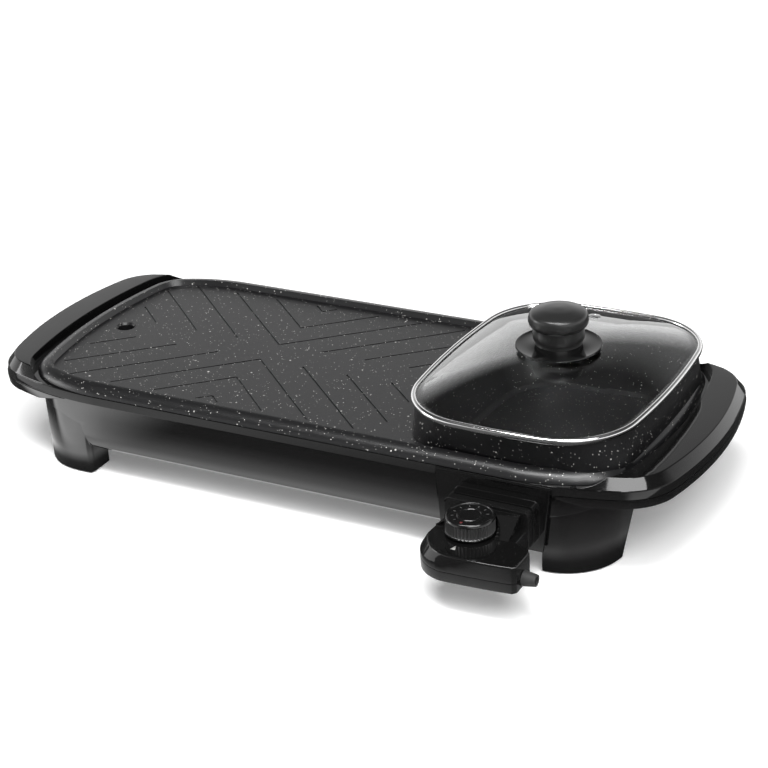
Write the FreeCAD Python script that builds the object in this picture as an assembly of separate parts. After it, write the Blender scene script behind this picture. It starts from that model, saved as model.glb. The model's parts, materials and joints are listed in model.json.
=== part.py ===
"""Electric grill with a lidded pot: a cast pan on a moulded frame and base, with a plug-in controller.

All lengths are in millimetres. While the pieces are made, x runs along the grill towards the pot,
y runs from the front to the back with 0 on the grill's middle, and z is the height above the table.
save() then moves everything back along y, so that the origin is under the middle of the whole object.
"""
import FreeCAD
import Part
import math
import os

V = FreeCAD.Vector
UP = V(0, 0, 1)

# Overall size
LENGTH = 674.0              # over the two end handles
WIDTH = 272.0               # over the frame's long sides
END = LENGTH / 2            # x of the frame's end
FRONT = -WIDTH / 2          # y of the frame's front side

# Heights above the table
PAD_T = 3.0                 # rubber foot pad, sunk in the leg's underside
LEG_FLOOR = 1.0             # underside of the legs, above the table
FLOOR_Z = 26.5              # underside of the base between the legs
SEAM_Z = 74.5               # seam between base and frame
BAND_Z = 66.5               # lower edge of the frame's band at the ends
DECK_Z = 81.5               # top of the frame, under the pan
HANDLE_Z = 90.5             # top of the handles
POT_FLOOR_Z = 47.5          # inside of the pot's floor
POT_RIM_Z = 116.0           # top of the pot's wall

# Walls and clearances
MOULD_T = 2.5               # moulded wall
CAST_T = 3.5                # cast grill plate
POT_T = 2.8                 # cast pot wall
SHEET_T = 0.8               # sheet steel
GAP = 0.3                   # between pieces that are put together
RUN = 0.05                  # radial running clearance

# Pot, socket and controller share one line across the grill
POT_X = END - 147.0

# Grill plate
RIM_H = 8.8                 # rim above the plate's lower edge
RIM_IN = 9.5                # from the lower edge in to the top of the rim
RIM_W = 2.5                 # flat on top of the rim
COOK_DEPTH = 4.6            # cooking surface below the rim
DRAIN_X = 81.0 - END
DRAIN_R = 8.0
SPOUT_T = 2.5
GROOVE_X = POT_X - 288.0    # middle of the groove pattern
GROOVE_W = 1.6
GROOVE_DEPTH = 0.8
GROOVE_PITCH_X = 45.0
GROOVE_PITCH_Y = 41.0
GROOVE_LONG = 167.0         # pattern's reach either way from its middle
GROOVE_FROM = 17.0          # bare strip on the middle line, half width
GROOVE_TO = 109.0

# Lid
LID_HALF_X = 103.7
LID_HALF_Y = WIDTH / 2 - 4.2
LID_RIM_H = 5.5
LID_RIM_W = 4.5
GLASS_T = 4.0
DOME_H = 20.5               # glass at the middle above the glass at the rim
FLANGE_R = 37.0
FLANGE_T = 3.0
KNOB_R = 25.6
KNOB_NECK_R = 21.8
KNOB_FOOT_R = 20.2
KNOB_H = 31.5               # above the flange
KNOB_BORE = 13.0            # depth of the screw's hole in the knob
LID_SCREW_R = 2.5
VENT_R = 3.2
VENT_X = POT_X - 4.0
VENT_Y = LID_HALF_Y - 42.8

# Heating element
TUBE_R = 3.25
PIN_SPREAD = 14.0           # from the socket's middle to each contact pin
PIN_Z = 50.5

# Socket housing and controller
SOCKET_X = POT_X + 4.0
HOUSING_W = 102.0
HOUSING_FACE_T = 3.6
HOUSING_SIDE = 4.0          # face beyond the housing's core on each side
HOUSING_TAPER = 7.0         # the face's right side leans in this much, its left side half
HOUSING_Z0 = 22.5
HOUSING_PROUD = 2.0         # in front of the frame's side
COLLAR_W = 74.0             # raised collar round the socket, and the controller's flange
COLLAR_H = 35.0
COLLAR_Z0 = 33.5
COLLAR_OUT = 10.0
SOCKET_W = 58.0
SOCKET_H = 22.0
FLANGE_GAP = 1.5            # between collar and controller flange
FLANGE_PLATE_T = 9.0
CTRL_X0 = SOCKET_X - COLLAR_W / 2 - 3.0
CTRL_X1 = SOCKET_X + COLLAR_W / 2 + 16.0
CTRL_Z0 = 31.5
CTRL_Z1 = 55.0
CTRL_SEAM_Z = 40.0
CTRL_REACH = 61.0           # from the controller's flange to its front
DIAL_R = 20.5
DIAL_H = 15.0
DIAL_LIFT = 1.6
DIAL_BACK = 1.8             # between dial and flange
DIAL_ROOM = 1.4             # between dial and the shell's hump
DIAL_RIBS = 48
SHAFT_R = 3.0
PROBE_R = 3.0
GLAND_R = 6.5
GLAND_BORE_R = 3.4
GLAND_LEN = 11.0

# Grease tray
TRAY_LEN = 78.0
TRAY_W = 96.0
TRAY_H = 20.0
TRAY_T = 1.6
FRONT_H = 26.0

# Fasteners
SCREW_R = 1.5
HEAD_R = 3.2
HEAD_H = 2.0
THREAD = 11.0               # in the boss that a screw goes into
BOSS_R = 4.6

# Outlines. Each is (half length, half width, straight half length, side radius, corner radius, end radius):
# a straight long side, a wide arc that eases off it, a corner arc, and a bowed end.
FRAME = (END, -FRONT + 1.0, END - 137.0, 300.0, 50.0, 380.0)
FRAME_TOP = (END - 1.0, -FRONT - 1.5, END - 137.0, 300.0, 50.0, 380.0)
HANDLE_TOP = (END - 7.0, -FRONT - 9.0, END - 137.0, 300.0, 40.0, 330.0)
PLATE = (END - 40.0, -FRONT - 2.0, END - 137.0, 156.0, 40.0, 450.0)
WALL = (END - 41.0, -FRONT - 0.5, END - 147.0, 300.0, 55.0, 450.0)
LEG_TOP = (END - 43.5, -FRONT - 3.5, END - 142.0, 300.0, 52.0, 450.0)
LEG_FOOT = (END - 47.5, -FRONT - 5.3, END - 111.0, 150.0, 50.0, 450.0)
LID = (LID_HALF_X, LID_HALF_Y, 0.0, 675.0, 66.0, 700.0)
POT_TOP = (LID_HALF_X - 3.7, LID_HALF_Y - 3.8, 0.0, 675.0, 64.0, 700.0)
POT_FOOT = (LID_HALF_X - 1.7, LID_HALF_Y - 12.8, 0.0, 640.0, 40.0, 700.0)
POT_LOW = (LID_HALF_X - 15.0, LID_HALF_Y - 19.0, 0.0, 640.0, 56.0, 660.0)


def inset(outline, d):
    """The parallel outline that lies d further in."""
    hx, hy, straight, side_r, corner_r, end_r = outline
    return (hx - d, hy - d, straight, side_r - d, corner_r - d, end_r - d)


def outline_wire(outline, z, cx=0.0):
    """Closed wire of an outline at height z, its middle at cx."""
    hx, hy, straight, side_r, corner_r, end_r = outline
    end_c = V(hx - end_r, 0, 0)
    side_c = V(straight, hy - side_r, 0)
    r1 = end_r - corner_r
    r2 = side_r - corner_r
    gap = side_c - end_c
    along = (r1 * r1 - r2 * r2 + gap.Length ** 2) / (2 * gap.Length)
    off = math.sqrt(r1 * r1 - along * along)
    unit = V(gap).normalize()
    foot = end_c + unit * along
    side = V(unit.y, -unit.x, 0)
    corner_c = max(foot + side * off, foot - side * off, key=lambda p: p.x)
    a = end_c + (corner_c - end_c).normalize() * end_r
    b = side_c + (corner_c - side_c).normalize() * side_r
    c = side_c + V(0, side_r, 0)

    def arc(p, q, centre, r):
        mid = (p + q) * 0.5 - centre
        return (p, centre + mid.normalize() * r, q)

    quarter = [arc(a, b, corner_c, corner_r), arc(b, c, side_c, side_r)]
    place = V(cx, 0, z)
    edges = []

    def add(points, sx, sy):
        moved = [V(p.x * sx, p.y * sy, 0) + place for p in points]
        if sx * sy < 0:
            moved.reverse()
        edges.append(Part.Arc(*moved).toShape())

    def line(p, q):
        if straight > 0:
            edges.append(Part.LineSegment(p + place, q + place).toShape())

    add(quarter[0], 1, 1)
    add(quarter[1], 1, 1)
    line(V(straight, hy, 0), V(-straight, hy, 0))
    add(quarter[1], -1, 1)
    add(quarter[0], -1, 1)
    add((V(a.x, -a.y, 0), V(hx, 0, 0), a), -1, 1)
    add(quarter[0], -1, -1)
    add(quarter[1], -1, -1)
    line(V(-straight, -hy, 0), V(straight, -hy, 0))
    add(quarter[1], 1, -1)
    add(quarter[0], 1, -1)
    add((V(a.x, -a.y, 0), V(hx, 0, 0), a), 1, 1)
    return Part.Wire(edges)


def drafted(levels, cx=0.0):
    """Solid through outlines at rising heights, with straight sides from each to the next."""
    wires = [outline_wire(outline, z, cx) for outline, z in levels]
    return Part.makeLoft(wires, True, True)


def prism(outline, z0, z1, cx=0.0):
    """Straight solid of one outline."""
    return Part.Face(outline_wire(outline, z0, cx)).extrude(UP * (z1 - z0))


def box(x0, x1, y0, y1, z0, z1):
    """Block from its lowest to its highest corner."""
    return Part.makeBox(x1 - x0, y1 - y0, z1 - z0, V(x0, y0, z0))


def rod(r, p, direction, length):
    """Round bar."""
    return Part.makeCylinder(r, length, p, direction)


def turned(profile, x, y):
    """Solid of revolution about the upright line at x, y, from (radius, height) corners."""
    points = [V(r, 0, z) for r, z in profile]
    face = Part.Face(Part.makePolygon(points + points[:1]))
    solid = face.revolve(V(0, 0, 0), UP, 360)
    solid.translate(V(x, y, 0))
    return solid


def round_upright(solid, r, test=None):
    """Rounds the upright edges that the test picks by their middle."""
    picked = []
    for edge in solid.Edges:
        a, b = edge.Vertexes[0].Point, edge.Vertexes[-1].Point
        upright = abs(a.x - b.x) < 1e-6 and abs(a.y - b.y) < 1e-6 and abs(a.z - b.z) > 1e-6
        if upright and (test is None or test(edge.CenterOfMass)):
            picked.append(edge)
    return solid.makeFillet(r, picked)


def mirror_y(shape):
    return shape.mirror(V(0, 0, 0), V(0, 1, 0))


def mirror_x(shape):
    return shape.mirror(V(0, 0, 0), V(1, 0, 0))


def four(shape):
    """The shape and its three mirror images in the two middle planes."""
    pair = [shape, mirror_x(shape)]
    return pair + [mirror_y(s) for s in pair]


# Grill pan
PLATE_Z = DECK_Z + GAP
RIM_Z = PLATE_Z + RIM_H
COOK_Z = RIM_Z - COOK_DEPTH
POT_UNDER_Z = POT_FLOOR_Z - CAST_T
POT_TURN = 8.0              # height of the round between the pot's wall and floor
SPOUT_Z = 57.5


def pot_levels(d, floor_z):
    """Pot surface d inside its outside, down to a floor at floor_z."""
    low = inset(POT_LOW, d)
    return [(inset(low, POT_TURN * 0.8), floor_z),
            (inset(low, POT_TURN * 0.25), floor_z + POT_TURN * 0.35),
            (low, floor_z + POT_TURN),
            (inset(POT_FOOT, d), COOK_Z),
            (inset(POT_TOP, d), POT_RIM_Z)]


def groove_lines():
    """Middle lines of the grooves in the pattern's first quarter, from its middle outwards."""
    slope = GROOVE_PITCH_Y / GROOVE_PITCH_X
    lines = []
    steps_in = int((GROOVE_TO - GROOVE_FROM) / GROOVE_PITCH_Y)
    steps_out = int(GROOVE_LONG / GROOVE_PITCH_X)
    for k in range(-steps_in, steps_out + 1):
        x_start = max(0.0, k * GROOVE_PITCH_X)
        y_start = GROOVE_FROM + (x_start - k * GROOVE_PITCH_X) * slope
        x_end = min(GROOVE_LONG, x_start + (GROOVE_TO - y_start) / slope)
        y_end = y_start + (x_end - x_start) * slope
        lines.append((x_start, y_start, x_end, y_end))
    return lines


def groove_cuts():
    """All grooves, as thin bars sunk in the cooking surface."""
    bars = []
    for x0, y0, x1, y1 in groove_lines():
        length = math.hypot(x1 - x0, y1 - y0)
        bar = Part.makeBox(length, GROOVE_W, CAST_T, V(0, -GROOVE_W / 2, COOK_Z - GROOVE_DEPTH))
        bar.rotate(V(0, 0, 0), UP, math.degrees(math.atan2(y1 - y0, x1 - x0)))
        bar.translate(V(x0, y0, 0))
        for quarter in four(bar):
            quarter.translate(V(GROOVE_X, 0, 0))
            bars.append(quarter)
    return bars


PAN_BOSSES = [(DRAIN_X + 51.0, 75.0), (POT_X - 150.0, 75.0)]
REFLECTOR_Z = 60.5


def grill_pan():
    plate = drafted([(PLATE, PLATE_Z),
                     (inset(PLATE, 0.6), PLATE_Z + 0.25 * RIM_H),
                     (inset(PLATE, 2.6), PLATE_Z + 0.58 * RIM_H),
                     (inset(PLATE, 5.6), PLATE_Z + 0.84 * RIM_H),
                     (inset(PLATE, RIM_IN), RIM_Z)])
    pocket = drafted([(inset(PLATE, RIM_IN + RIM_W + 3.0), COOK_Z),
                      (inset(PLATE, RIM_IN + RIM_W), RIM_Z + 1.0)])
    plate = plate.cut(pocket)
    spout = rod(DRAIN_R + SPOUT_T, V(DRAIN_X, 0, SPOUT_Z), UP, COOK_Z - SPOUT_Z - 1.0)
    bosses = []
    for bx, by in PAN_BOSSES:
        for sy in (1, -1):
            bosses.append(rod(BOSS_R, V(bx, sy * by, REFLECTOR_Z + SHEET_T), UP, COOK_Z - 1.0 - REFLECTOR_Z - SHEET_T))
    pan = plate.fuse([drafted(pot_levels(0.0, POT_UNDER_Z), POT_X), spout] + bosses)
    pot_room = drafted(pot_levels(POT_T, POT_FLOOR_Z) + [(inset(POT_TOP, POT_T), POT_RIM_Z + 5.0)], POT_X)
    drain = turned([(0, SPOUT_Z - 1), (DRAIN_R, SPOUT_Z - 1), (DRAIN_R, COOK_Z - 2.0),
                    (DRAIN_R + 1.5, COOK_Z + 0.01), (0, COOK_Z + 0.01)], DRAIN_X, 0)
    holes = []
    for bx, by in PAN_BOSSES:
        for sy in (1, -1):
            holes.append(rod(SCREW_R, V(bx, sy * by, REFLECTOR_Z), UP, THREAD + 1.5))
    return pan.cut([pot_room, drain] + groove_cuts() + holes).removeSplitter()


# Frame with handles
def handle_edge():
    """Inner edge of the handles, a little outside the plate."""
    return inset(PLATE, -6.0)


CASE_X = END - 71.5
CASE_Y = -FRONT - 27.0
CASE_BOSS_R = 3.8
CASE_POST_Z = 44.5          # top of the posts in the legs
OPENING_IN = 20.0           # frame's opening inside the plate's edge
POT_CLEAR = 2.0             # round the pot where it passes the frame


def top_frame():
    band = drafted([(FRAME, SEAM_Z + GAP), (FRAME_TOP, DECK_Z)])
    room = drafted([(inset(FRAME, MOULD_T), SEAM_Z), (inset(FRAME_TOP, MOULD_T), DECK_Z - MOULD_T)])
    frame = band.cut(room)
    bars = drafted([(FRAME_TOP, DECK_Z - 0.5), (inset(FRAME_TOP, 0.2), DECK_Z + 0.5), (HANDLE_TOP, HANDLE_Z)])
    bars = bars.cut(prism(handle_edge(), DECK_Z - 1.0, HANDLE_Z + 1.0))
    inside = inset(HANDLE_TOP, MOULD_T + 1.0)
    hollow = prism(inside, DECK_Z - MOULD_T - 1.0, HANDLE_Z - MOULD_T)
    hollow = hollow.cut(prism(inset(handle_edge(), -MOULD_T), 0, HANDLE_Z))
    frame = frame.fuse(bars).cut(hollow)
    frame = frame.cut(prism(inset(PLATE, OPENING_IN), 0, HANDLE_Z))
    pot_room = drafted(pot_levels(-POT_CLEAR, POT_UNDER_Z), POT_X)
    hx0, hx1 = housing_x()
    frame = frame.cut(box(hx0 - GAP, hx1 + GAP, -WIDTH, housing_back() + GAP, 0, DECK_Z + 1.0))
    bosses = four(rod(CASE_BOSS_R, V(CASE_X, CASE_Y, CASE_POST_Z + GAP), UP, DECK_Z - 1.0 - CASE_POST_Z - GAP))
    holes = four(rod(SCREW_R, V(CASE_X, CASE_Y, CASE_POST_Z), UP, THREAD + 1.5))
    return frame.fuse(bosses).cut(holes + [pot_room]).removeSplitter()


# Base
LEG_X = END - 123.0               # inner side of the left legs
LEG_X_RIGHT = END - 109.0         # and of the right legs, which stand clear of the socket housing
LEG_SIDE = 30.0             # depth of that side
LEG_TOP_Z = 64.0            # top of the legs, under the handles
LEDGE_Z = 50.0              # lower edge of the wall over a leg, beside the leg's inner side
LEDGE_RUN = 56.0            # along which that edge climbs to the leg's top
LEG_DEEP_Y = 93.0           # the foot's far edge along the end
LEG_LEAN = 22.0             # how much further that edge reaches at the leg's top
LEG_ROUND = 8.0             # leg's corner between its front and its inner side


def leg_plan(side_x, d, deep_y, z):
    points = [V(side_x + d, -END, z), V(END, -END, z), V(END, -deep_y - d, z),
              V(LEG_X + 40.0 + d, -deep_y + 12.0 - d, z), V(side_x + d, FRONT + LEG_SIDE + 2.0 - d, z)]
    return Part.makePolygon(points + points[:1])


def leg_region(side_x, d):
    """Where a front right leg may be, d further in than its inner sides."""
    plans = [leg_plan(side_x, d, LEG_DEEP_Y, 0), leg_plan(side_x, d, LEG_DEEP_Y - LEG_LEAN, LEG_TOP_Z)]
    region = Part.makeLoft(plans, True, True)
    front_y = FRONT + 3.0 + d
    rounded = box(side_x + d, END, front_y, 0, -1.0, LEG_TOP_Z + 1.0)
    rounded = round_upright(rounded, LEG_ROUND, lambda p: p.x < side_x + d + 1.0 and p.y < front_y + 1.0)
    return region.common(rounded)


def leg_set(d):
    """Regions of all four legs."""
    right = leg_region(LEG_X_RIGHT, d)
    left = mirror_x(leg_region(LEG_X, d))
    return [right, left, mirror_y(right), mirror_y(left)]


def over_legs():
    """Where the wall gives way to the legs, below an edge that climbs towards the ends."""
    tools = []
    for side_x, turn in ((LEG_X_RIGHT, False), (LEG_X, True)):
        corners = [V(side_x, -WIDTH, 0), V(END, -WIDTH, 0), V(END, -WIDTH, LEG_TOP_Z),
                   V(side_x + LEDGE_RUN, -WIDTH, LEG_TOP_Z), V(side_x, -WIDTH, LEDGE_Z)]
        below = Part.Face(Part.makePolygon(corners + corners[:1])).extrude(V(0, WIDTH, 0))
        tool = leg_region(side_x, 0.0).common(below)
        if turn:
            tool = mirror_x(tool)
        tools += [tool, mirror_y(tool)]
    return tools


BAND_FROM = 32.0            # the handles' undersides start this far beyond the frame's straight sides
BAND_RUN = 34.0             # and reach their full depth along this length


def handle_undersides():
    """Hollow lips of the base that close both handles from below."""
    outer = drafted([(inset(FRAME, 1.0), BAND_Z), (FRAME, SEAM_Z)])
    inner = drafted([(inset(FRAME, MOULD_T + 1.0), BAND_Z + MOULD_T), (inset(FRAME, MOULD_T), SEAM_Z + 1.0)])
    x0 = FRAME[2] + BAND_FROM
    x1 = x0 + BAND_RUN
    side = [V(x0, -WIDTH, SEAM_Z), V(x1, -WIDTH, BAND_Z), V(END, -WIDTH, BAND_Z), V(END, -WIDTH, SEAM_Z)]
    reach = Part.Face(Part.makePolygon(side + side[:1])).extrude(V(0, 2 * WIDTH, 0))
    room = reach.copy()
    room.translate(V(MOULD_T + 2.0, 0, MOULD_T))
    lip = outer.common(reach).cut(inner.common(room))
    return [lip, mirror_x(lip)]


# The wall draws in towards its foot, further at the ends than along the sides: (side, end, height)
WALL_LEVELS = [(9.0, 22.0, FLOOR_Z), (5.5, 17.0, FLOOR_Z + 3.0), (2.5, 5.5, FLOOR_Z + 13.0), (0.8, 1.6, FLOOR_Z + 28.0)]


def drawn_in(outline, side, end):
    """An outline made narrower by side and shorter by end, either way."""
    hx, hy, straight, side_r, corner_r, end_r = outline
    return (hx - end, hy - side, straight, side_r - side, corner_r - side, end_r - side)


WALL_FOOT = drawn_in(WALL, WALL_LEVELS[0][0], WALL_LEVELS[0][1])


def housing_back():
    """Back of the housing's face."""
    return FRONT - HOUSING_PROUD + HOUSING_FACE_T


def housing_x():
    return POT_X - HOUSING_W / 2, POT_X + HOUSING_W / 2


LEDGE_IN = 15.0             # shell's bottom opening inside its foot
BOTTOM_IN = 5.8             # bottom plate inside the shell's foot
BOTTOM_T = 2.2
BOTTOM_Z = FLOOR_Z + MOULD_T + RUN
TRAY_FLOOR_Z = BOTTOM_Z + BOTTOM_T + GAP
UNDER_HEAD = 8.0            # post left over a screw's head
TRAY_X0 = -WALL[0] + 12.0   # outer end of the tray's front panel
RAIL_W = 3.0
RAIL_H = 8.0
SLOT_W = 6.0
SLOT_LEN = 44.0
SLOT_PITCH = 22.0


def base_shell():
    outer = drafted([(drawn_in(WALL, side, end), z) for side, end, z in WALL_LEVELS] + [(WALL, SEAM_Z)])
    inner = drafted([(inset(drawn_in(WALL, side, end), MOULD_T + 0.8), z + MOULD_T) for side, end, z in WALL_LEVELS]
                    + [(inset(WALL, MOULD_T), SEAM_Z + 1.0)])
    legs_out = drafted([(LEG_FOOT, LEG_FLOOR), (LEG_TOP, LEG_TOP_Z)])
    legs_in = drafted([(inset(LEG_FOOT, MOULD_T), LEG_FLOOR + MOULD_T + PAD_T),
                       (inset(LEG_TOP, MOULD_T), LEG_TOP_Z - MOULD_T)])
    legs = [leg.common(legs_out) for leg in leg_set(0.0)]
    rooms = [room.common(legs_in) for room in leg_set(MOULD_T)]
    shell = outer.cut(over_legs()).fuse(legs + handle_undersides()).cut(inner).cut(rooms)

    # posts for the frame's screws, and seats for the pads
    add = four(rod(CASE_BOSS_R + 0.8, V(CASE_X, CASE_Y, LEG_FLOOR + 1.0), UP, CASE_POST_Z - LEG_FLOOR - 1.0))
    cut = four(rod(SCREW_R + 0.3, V(CASE_X, CASE_Y, 0), UP, CASE_POST_Z + 1.0))
    cut += four(rod(HEAD_R + 0.4, V(CASE_X, CASE_Y, 0), UP, CASE_POST_Z - UNDER_HEAD))
    cut += four(pad_solid(0.0, PAD_T))

    # opening that the bottom plate covers from above, and the tray's way out through the left end
    cut.append(prism(inset(WALL_FOOT, LEDGE_IN), FLOOR_Z - 1.0, FLOOR_Z + MOULD_T + 1.0))
    front_half = TRAY_W / 2 + 3.0 + GAP
    cut.append(box(-END, TRAY_X0 + 14.0, -front_half, front_half, TRAY_FLOOR_Z - GAP, TRAY_FLOOR_Z + FRONT_H + GAP))

    # place for the socket housing in the front wall
    hx0, hx1 = housing_x()
    cut.append(box(hx0 + HOUSING_SIDE - GAP, hx1 - HOUSING_TAPER - HOUSING_SIDE + GAP, -WIDTH, FRONT + 14.0,
                   HOUSING_Z0, SEAM_Z + 1.0))
    cut.append(box(hx0 - GAP, hx1 + GAP, -WIDTH, housing_back() + GAP, HOUSING_Z0 - GAP, DECK_Z + 1.0))
    return shell.fuse(add).cut(cut).removeSplitter()


def bottom_plate():
    """Plate on the shell's ledge, with posts up to the pan, the tray's rails and air slots."""
    plate = prism(inset(WALL_FOOT, BOTTOM_IN), BOTTOM_Z, BOTTOM_Z + BOTTOM_T)
    add = []
    cut = four(rod(CASE_BOSS_R + 0.8 + GAP, V(CASE_X, CASE_Y, 0), UP, CASE_POST_Z))
    for bx, by in PAN_BOSSES:
        for sy in (1, -1):
            add.append(rod(BOSS_R + 0.8, V(bx, sy * by, BOTTOM_Z + 1.0), UP, REFLECTOR_Z - BOTTOM_Z - 1.0 - GAP))
            cut.append(rod(SCREW_R + 0.3, V(bx, sy * by, 0), UP, REFLECTOR_Z + 1.0))
            cut.append(rod(HEAD_R + 0.4, V(bx, sy * by, 0), UP, REFLECTOR_Z - UNDER_HEAD))
    for sy in (1, -1):
        y0, y1 = sorted((sy * (TRAY_W / 2 + GAP), sy * (TRAY_W / 2 + GAP + RAIL_W)))
        add.append(box(TRAY_X0 + 15.0, TRAY_X0 + TRAY_LEN, y0, y1, BOTTOM_Z + 1.0, TRAY_FLOOR_Z + RAIL_H))
    for k in range(-3, 4):
        for row in (-1, 1):
            slot = box(-SLOT_W / 2, SLOT_W / 2, -SLOT_LEN / 2, SLOT_LEN / 2, FLOOR_Z, BOTTOM_Z + BOTTOM_T + 1.0)
            slot.translate(V(GROOVE_X + k * SLOT_PITCH, row * 0.7 * SLOT_LEN, 0))
            cut.append(slot)
    return plate.fuse(add).cut(cut).removeSplitter()


PAD_R = 12.5
PAD_X = CASE_X - 18.0
PAD_Y = CASE_Y - 6.0


def pad_solid(grow, z1):
    """Foot pad under the front right leg, from the table up to z1."""
    return rod(PAD_R + grow, V(PAD_X, -PAD_Y, 0), UP, z1)


def foot_pads():
    return four(pad_solid(0.0, PAD_T))


# Heating element
def bent_tube(points, r, bend):
    """Tube along straight runs joined by tangent arcs."""
    edges = []
    last = points[0]
    for before, corner, after in zip(points, points[1:], points[2:]):
        to_before = (before - corner).normalize()
        to_after = (after - corner).normalize()
        half = to_before.getAngle(to_after) / 2
        cut_back = bend / math.tan(half)
        a = corner + to_before * cut_back
        b = corner + to_after * cut_back
        centre = corner + (to_before + to_after).normalize() * (bend / math.sin(half))
        mid = centre + (corner - centre).normalize() * bend
        if (a - last).Length > 1e-4:
            edges.append(Part.LineSegment(last, a).toShape())
        edges.append(Part.Arc(a, mid, b).toShape())
        last = b
    edges.append(Part.LineSegment(last, points[-1]).toShape())
    path = Part.Wire(edges)
    start = points[1] - points[0]
    ring = Part.Wire(Part.makeCircle(r, points[0], start))
    sweep = Part.BRepOffsetAPI.MakePipeShell(path)
    sweep.add(ring)
    sweep.build()
    sweep.makeSolid()
    tube = sweep.shape()
    print("tube volume over section times length:", round(tube.Volume / (math.pi * r * r * path.Length), 4))
    return tube


ELEMENT_TOP_Z = PLATE_Z - TUBE_R - GAP
PINS_Y0 = FRONT - HOUSING_PROUD - 9.0   # front tips of the contact pins


RING_GAP = TUBE_R + 2.5      # from the pot's side to the element's middle line
ELEMENT_Y = 50.0            # the two runs under the grill


def element_run():
    """Ends of the element's straight runs under the grill."""
    return 127.0 - PLATE[0], POT_X - POT_LOW[0] - RING_GAP - 28.0


def element_arm(sy):
    """One arm's path, from the far left end under the grill to the ring round the pot."""
    left = POT_X - POT_LOW[0] - RING_GAP
    run_x0, run_x1 = element_run()
    ring_y = POT_LOW[1] + RING_GAP
    return [V(58.0 - PLATE[0], sy * 22.0, ELEMENT_TOP_Z),
            V(run_x0, sy * ELEMENT_Y, ELEMENT_TOP_Z),
            V(run_x1, sy * ELEMENT_Y, ELEMENT_TOP_Z),
            V(left - 6.0, sy * 62.0, ELEMENT_TOP_Z - 8.0),
            V(left - 6.0, sy * (ring_y - 36.0), PIN_Z),
            V(left + 14.0, sy * ring_y, PIN_Z)]


def heating_element():
    """From the left pin, under the grill and back, round the pot to the right pin."""
    ring_y = POT_LOW[1] + RING_GAP
    right = POT_X + POT_LOW[0] + RING_GAP
    x0, x1 = pin_x()
    bow = [V(right - 38.0, ring_y, PIN_Z), V(right - 10.0, ring_y - 34.5, PIN_Z), V(right, 0.3 * ring_y, PIN_Z)]
    path = [V(x0, PINS_Y0, PIN_Z), V(x0, -ring_y, PIN_Z)]
    path += reversed(element_arm(-1))
    path += element_arm(1)
    path += bow
    path += [V(p.x, -p.y, p.z) for p in reversed(bow)]
    path += [V(x1, -ring_y, PIN_Z), V(x1, PINS_Y0, PIN_Z)]
    return bent_tube(path, TUBE_R, 7.0)


CLAMP_AT = (0.1, 0.47, 0.84)    # shares of the element's straight run
CLAMP_W = 10.0


def element_clamps():
    """Straps that go under the element and up to the plate on both sides of it."""
    straps = []
    run_x0, run_x1 = element_run()
    for share in CLAMP_AT:
        x = run_x0 + share * (run_x1 - run_x0)
        for y in (-ELEMENT_Y, ELEMENT_Y):
            outer = TUBE_R + RUN + 1.2
            low = ELEMENT_TOP_Z - TUBE_R - RUN - 1.2
            strap = box(x - CLAMP_W / 2, x + CLAMP_W / 2, y - outer, y + outer, low, PLATE_Z)
            ears = box(x - CLAMP_W / 2, x + CLAMP_W / 2, y - outer - 7.0, y + outer + 7.0, PLATE_Z - 1.2, PLATE_Z)
            bore = rod(TUBE_R + RUN, V(x - CLAMP_W, y, ELEMENT_TOP_Z), V(1, 0, 0), 2 * CLAMP_W)
            slot = box(x - CLAMP_W, x + CLAMP_W, y - TUBE_R - RUN, y + TUBE_R + RUN, ELEMENT_TOP_Z, PLATE_Z + 1.0)
            straps.append(strap.fuse(ears).cut([bore, slot]).removeSplitter())
    return Part.makeCompound(straps)


# Reflectors
def grill_reflector():
    """Shallow tray under the grill, stopping short of the pot."""
    end_x = POT_X - LID_HALF_X - 12.0
    rim = inset(PLATE, OPENING_IN + 6.0)
    outer = drafted([(inset(rim, 12.0), REFLECTOR_Z), (rim, DECK_Z - MOULD_T - 1.0)])
    inner = drafted([(inset(rim, 12.0 + SHEET_T), REFLECTOR_Z + SHEET_T), (inset(rim, SHEET_T), DECK_Z)])
    keep = box(-END, end_x, -WIDTH, WIDTH, 0, LENGTH)
    wall = box(end_x - SHEET_T, end_x, -WIDTH, WIDTH, 0, ELEMENT_TOP_Z - TUBE_R - 9.0).common(outer)
    tray = outer.cut(inner).common(keep).fuse(wall)
    holes = [rod(DRAIN_R + SPOUT_T + 1.0, V(DRAIN_X, 0, 0), UP, DECK_Z)]
    for bx, by in PAN_BOSSES:
        for sy in (1, -1):
            holes.append(rod(SCREW_R + 0.3, V(bx, sy * by, 0), UP, DECK_Z))
    return tray.cut(holes).removeSplitter()


POT_REFLECTOR_Z = 36.5
POT_POSTS = [(-45.0, -60.0), (45.0, -60.0), (-45.0, 60.0), (45.0, 60.0)]


def pot_reflector():
    """Dished sheet under the pot's floor, on four pressed feet."""
    rim = inset(POT_LOW, 4.0)
    outer = drafted([(inset(rim, 5.0), POT_REFLECTOR_Z), (rim, POT_REFLECTOR_Z + 5.0)], POT_X)
    inner = drafted([(inset(rim, 5.0 + SHEET_T), POT_REFLECTOR_Z + SHEET_T),
                     (inset(rim, SHEET_T), POT_REFLECTOR_Z + 6.0)], POT_X)
    foot_z = BOTTOM_Z + BOTTOM_T
    feet = [rod(4.0, V(POT_X + x, y, foot_z), UP, POT_REFLECTOR_Z - foot_z + SHEET_T / 2)
            for x, y in POT_POSTS]
    return outer.cut(inner).fuse(feet).removeSplitter()


# Terminals
PLATE_Y = FRONT + 7.0       # terminal plate, behind the housing


def pin_x():
    return SOCKET_X - PIN_SPREAD, SOCKET_X + PIN_SPREAD


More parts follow.
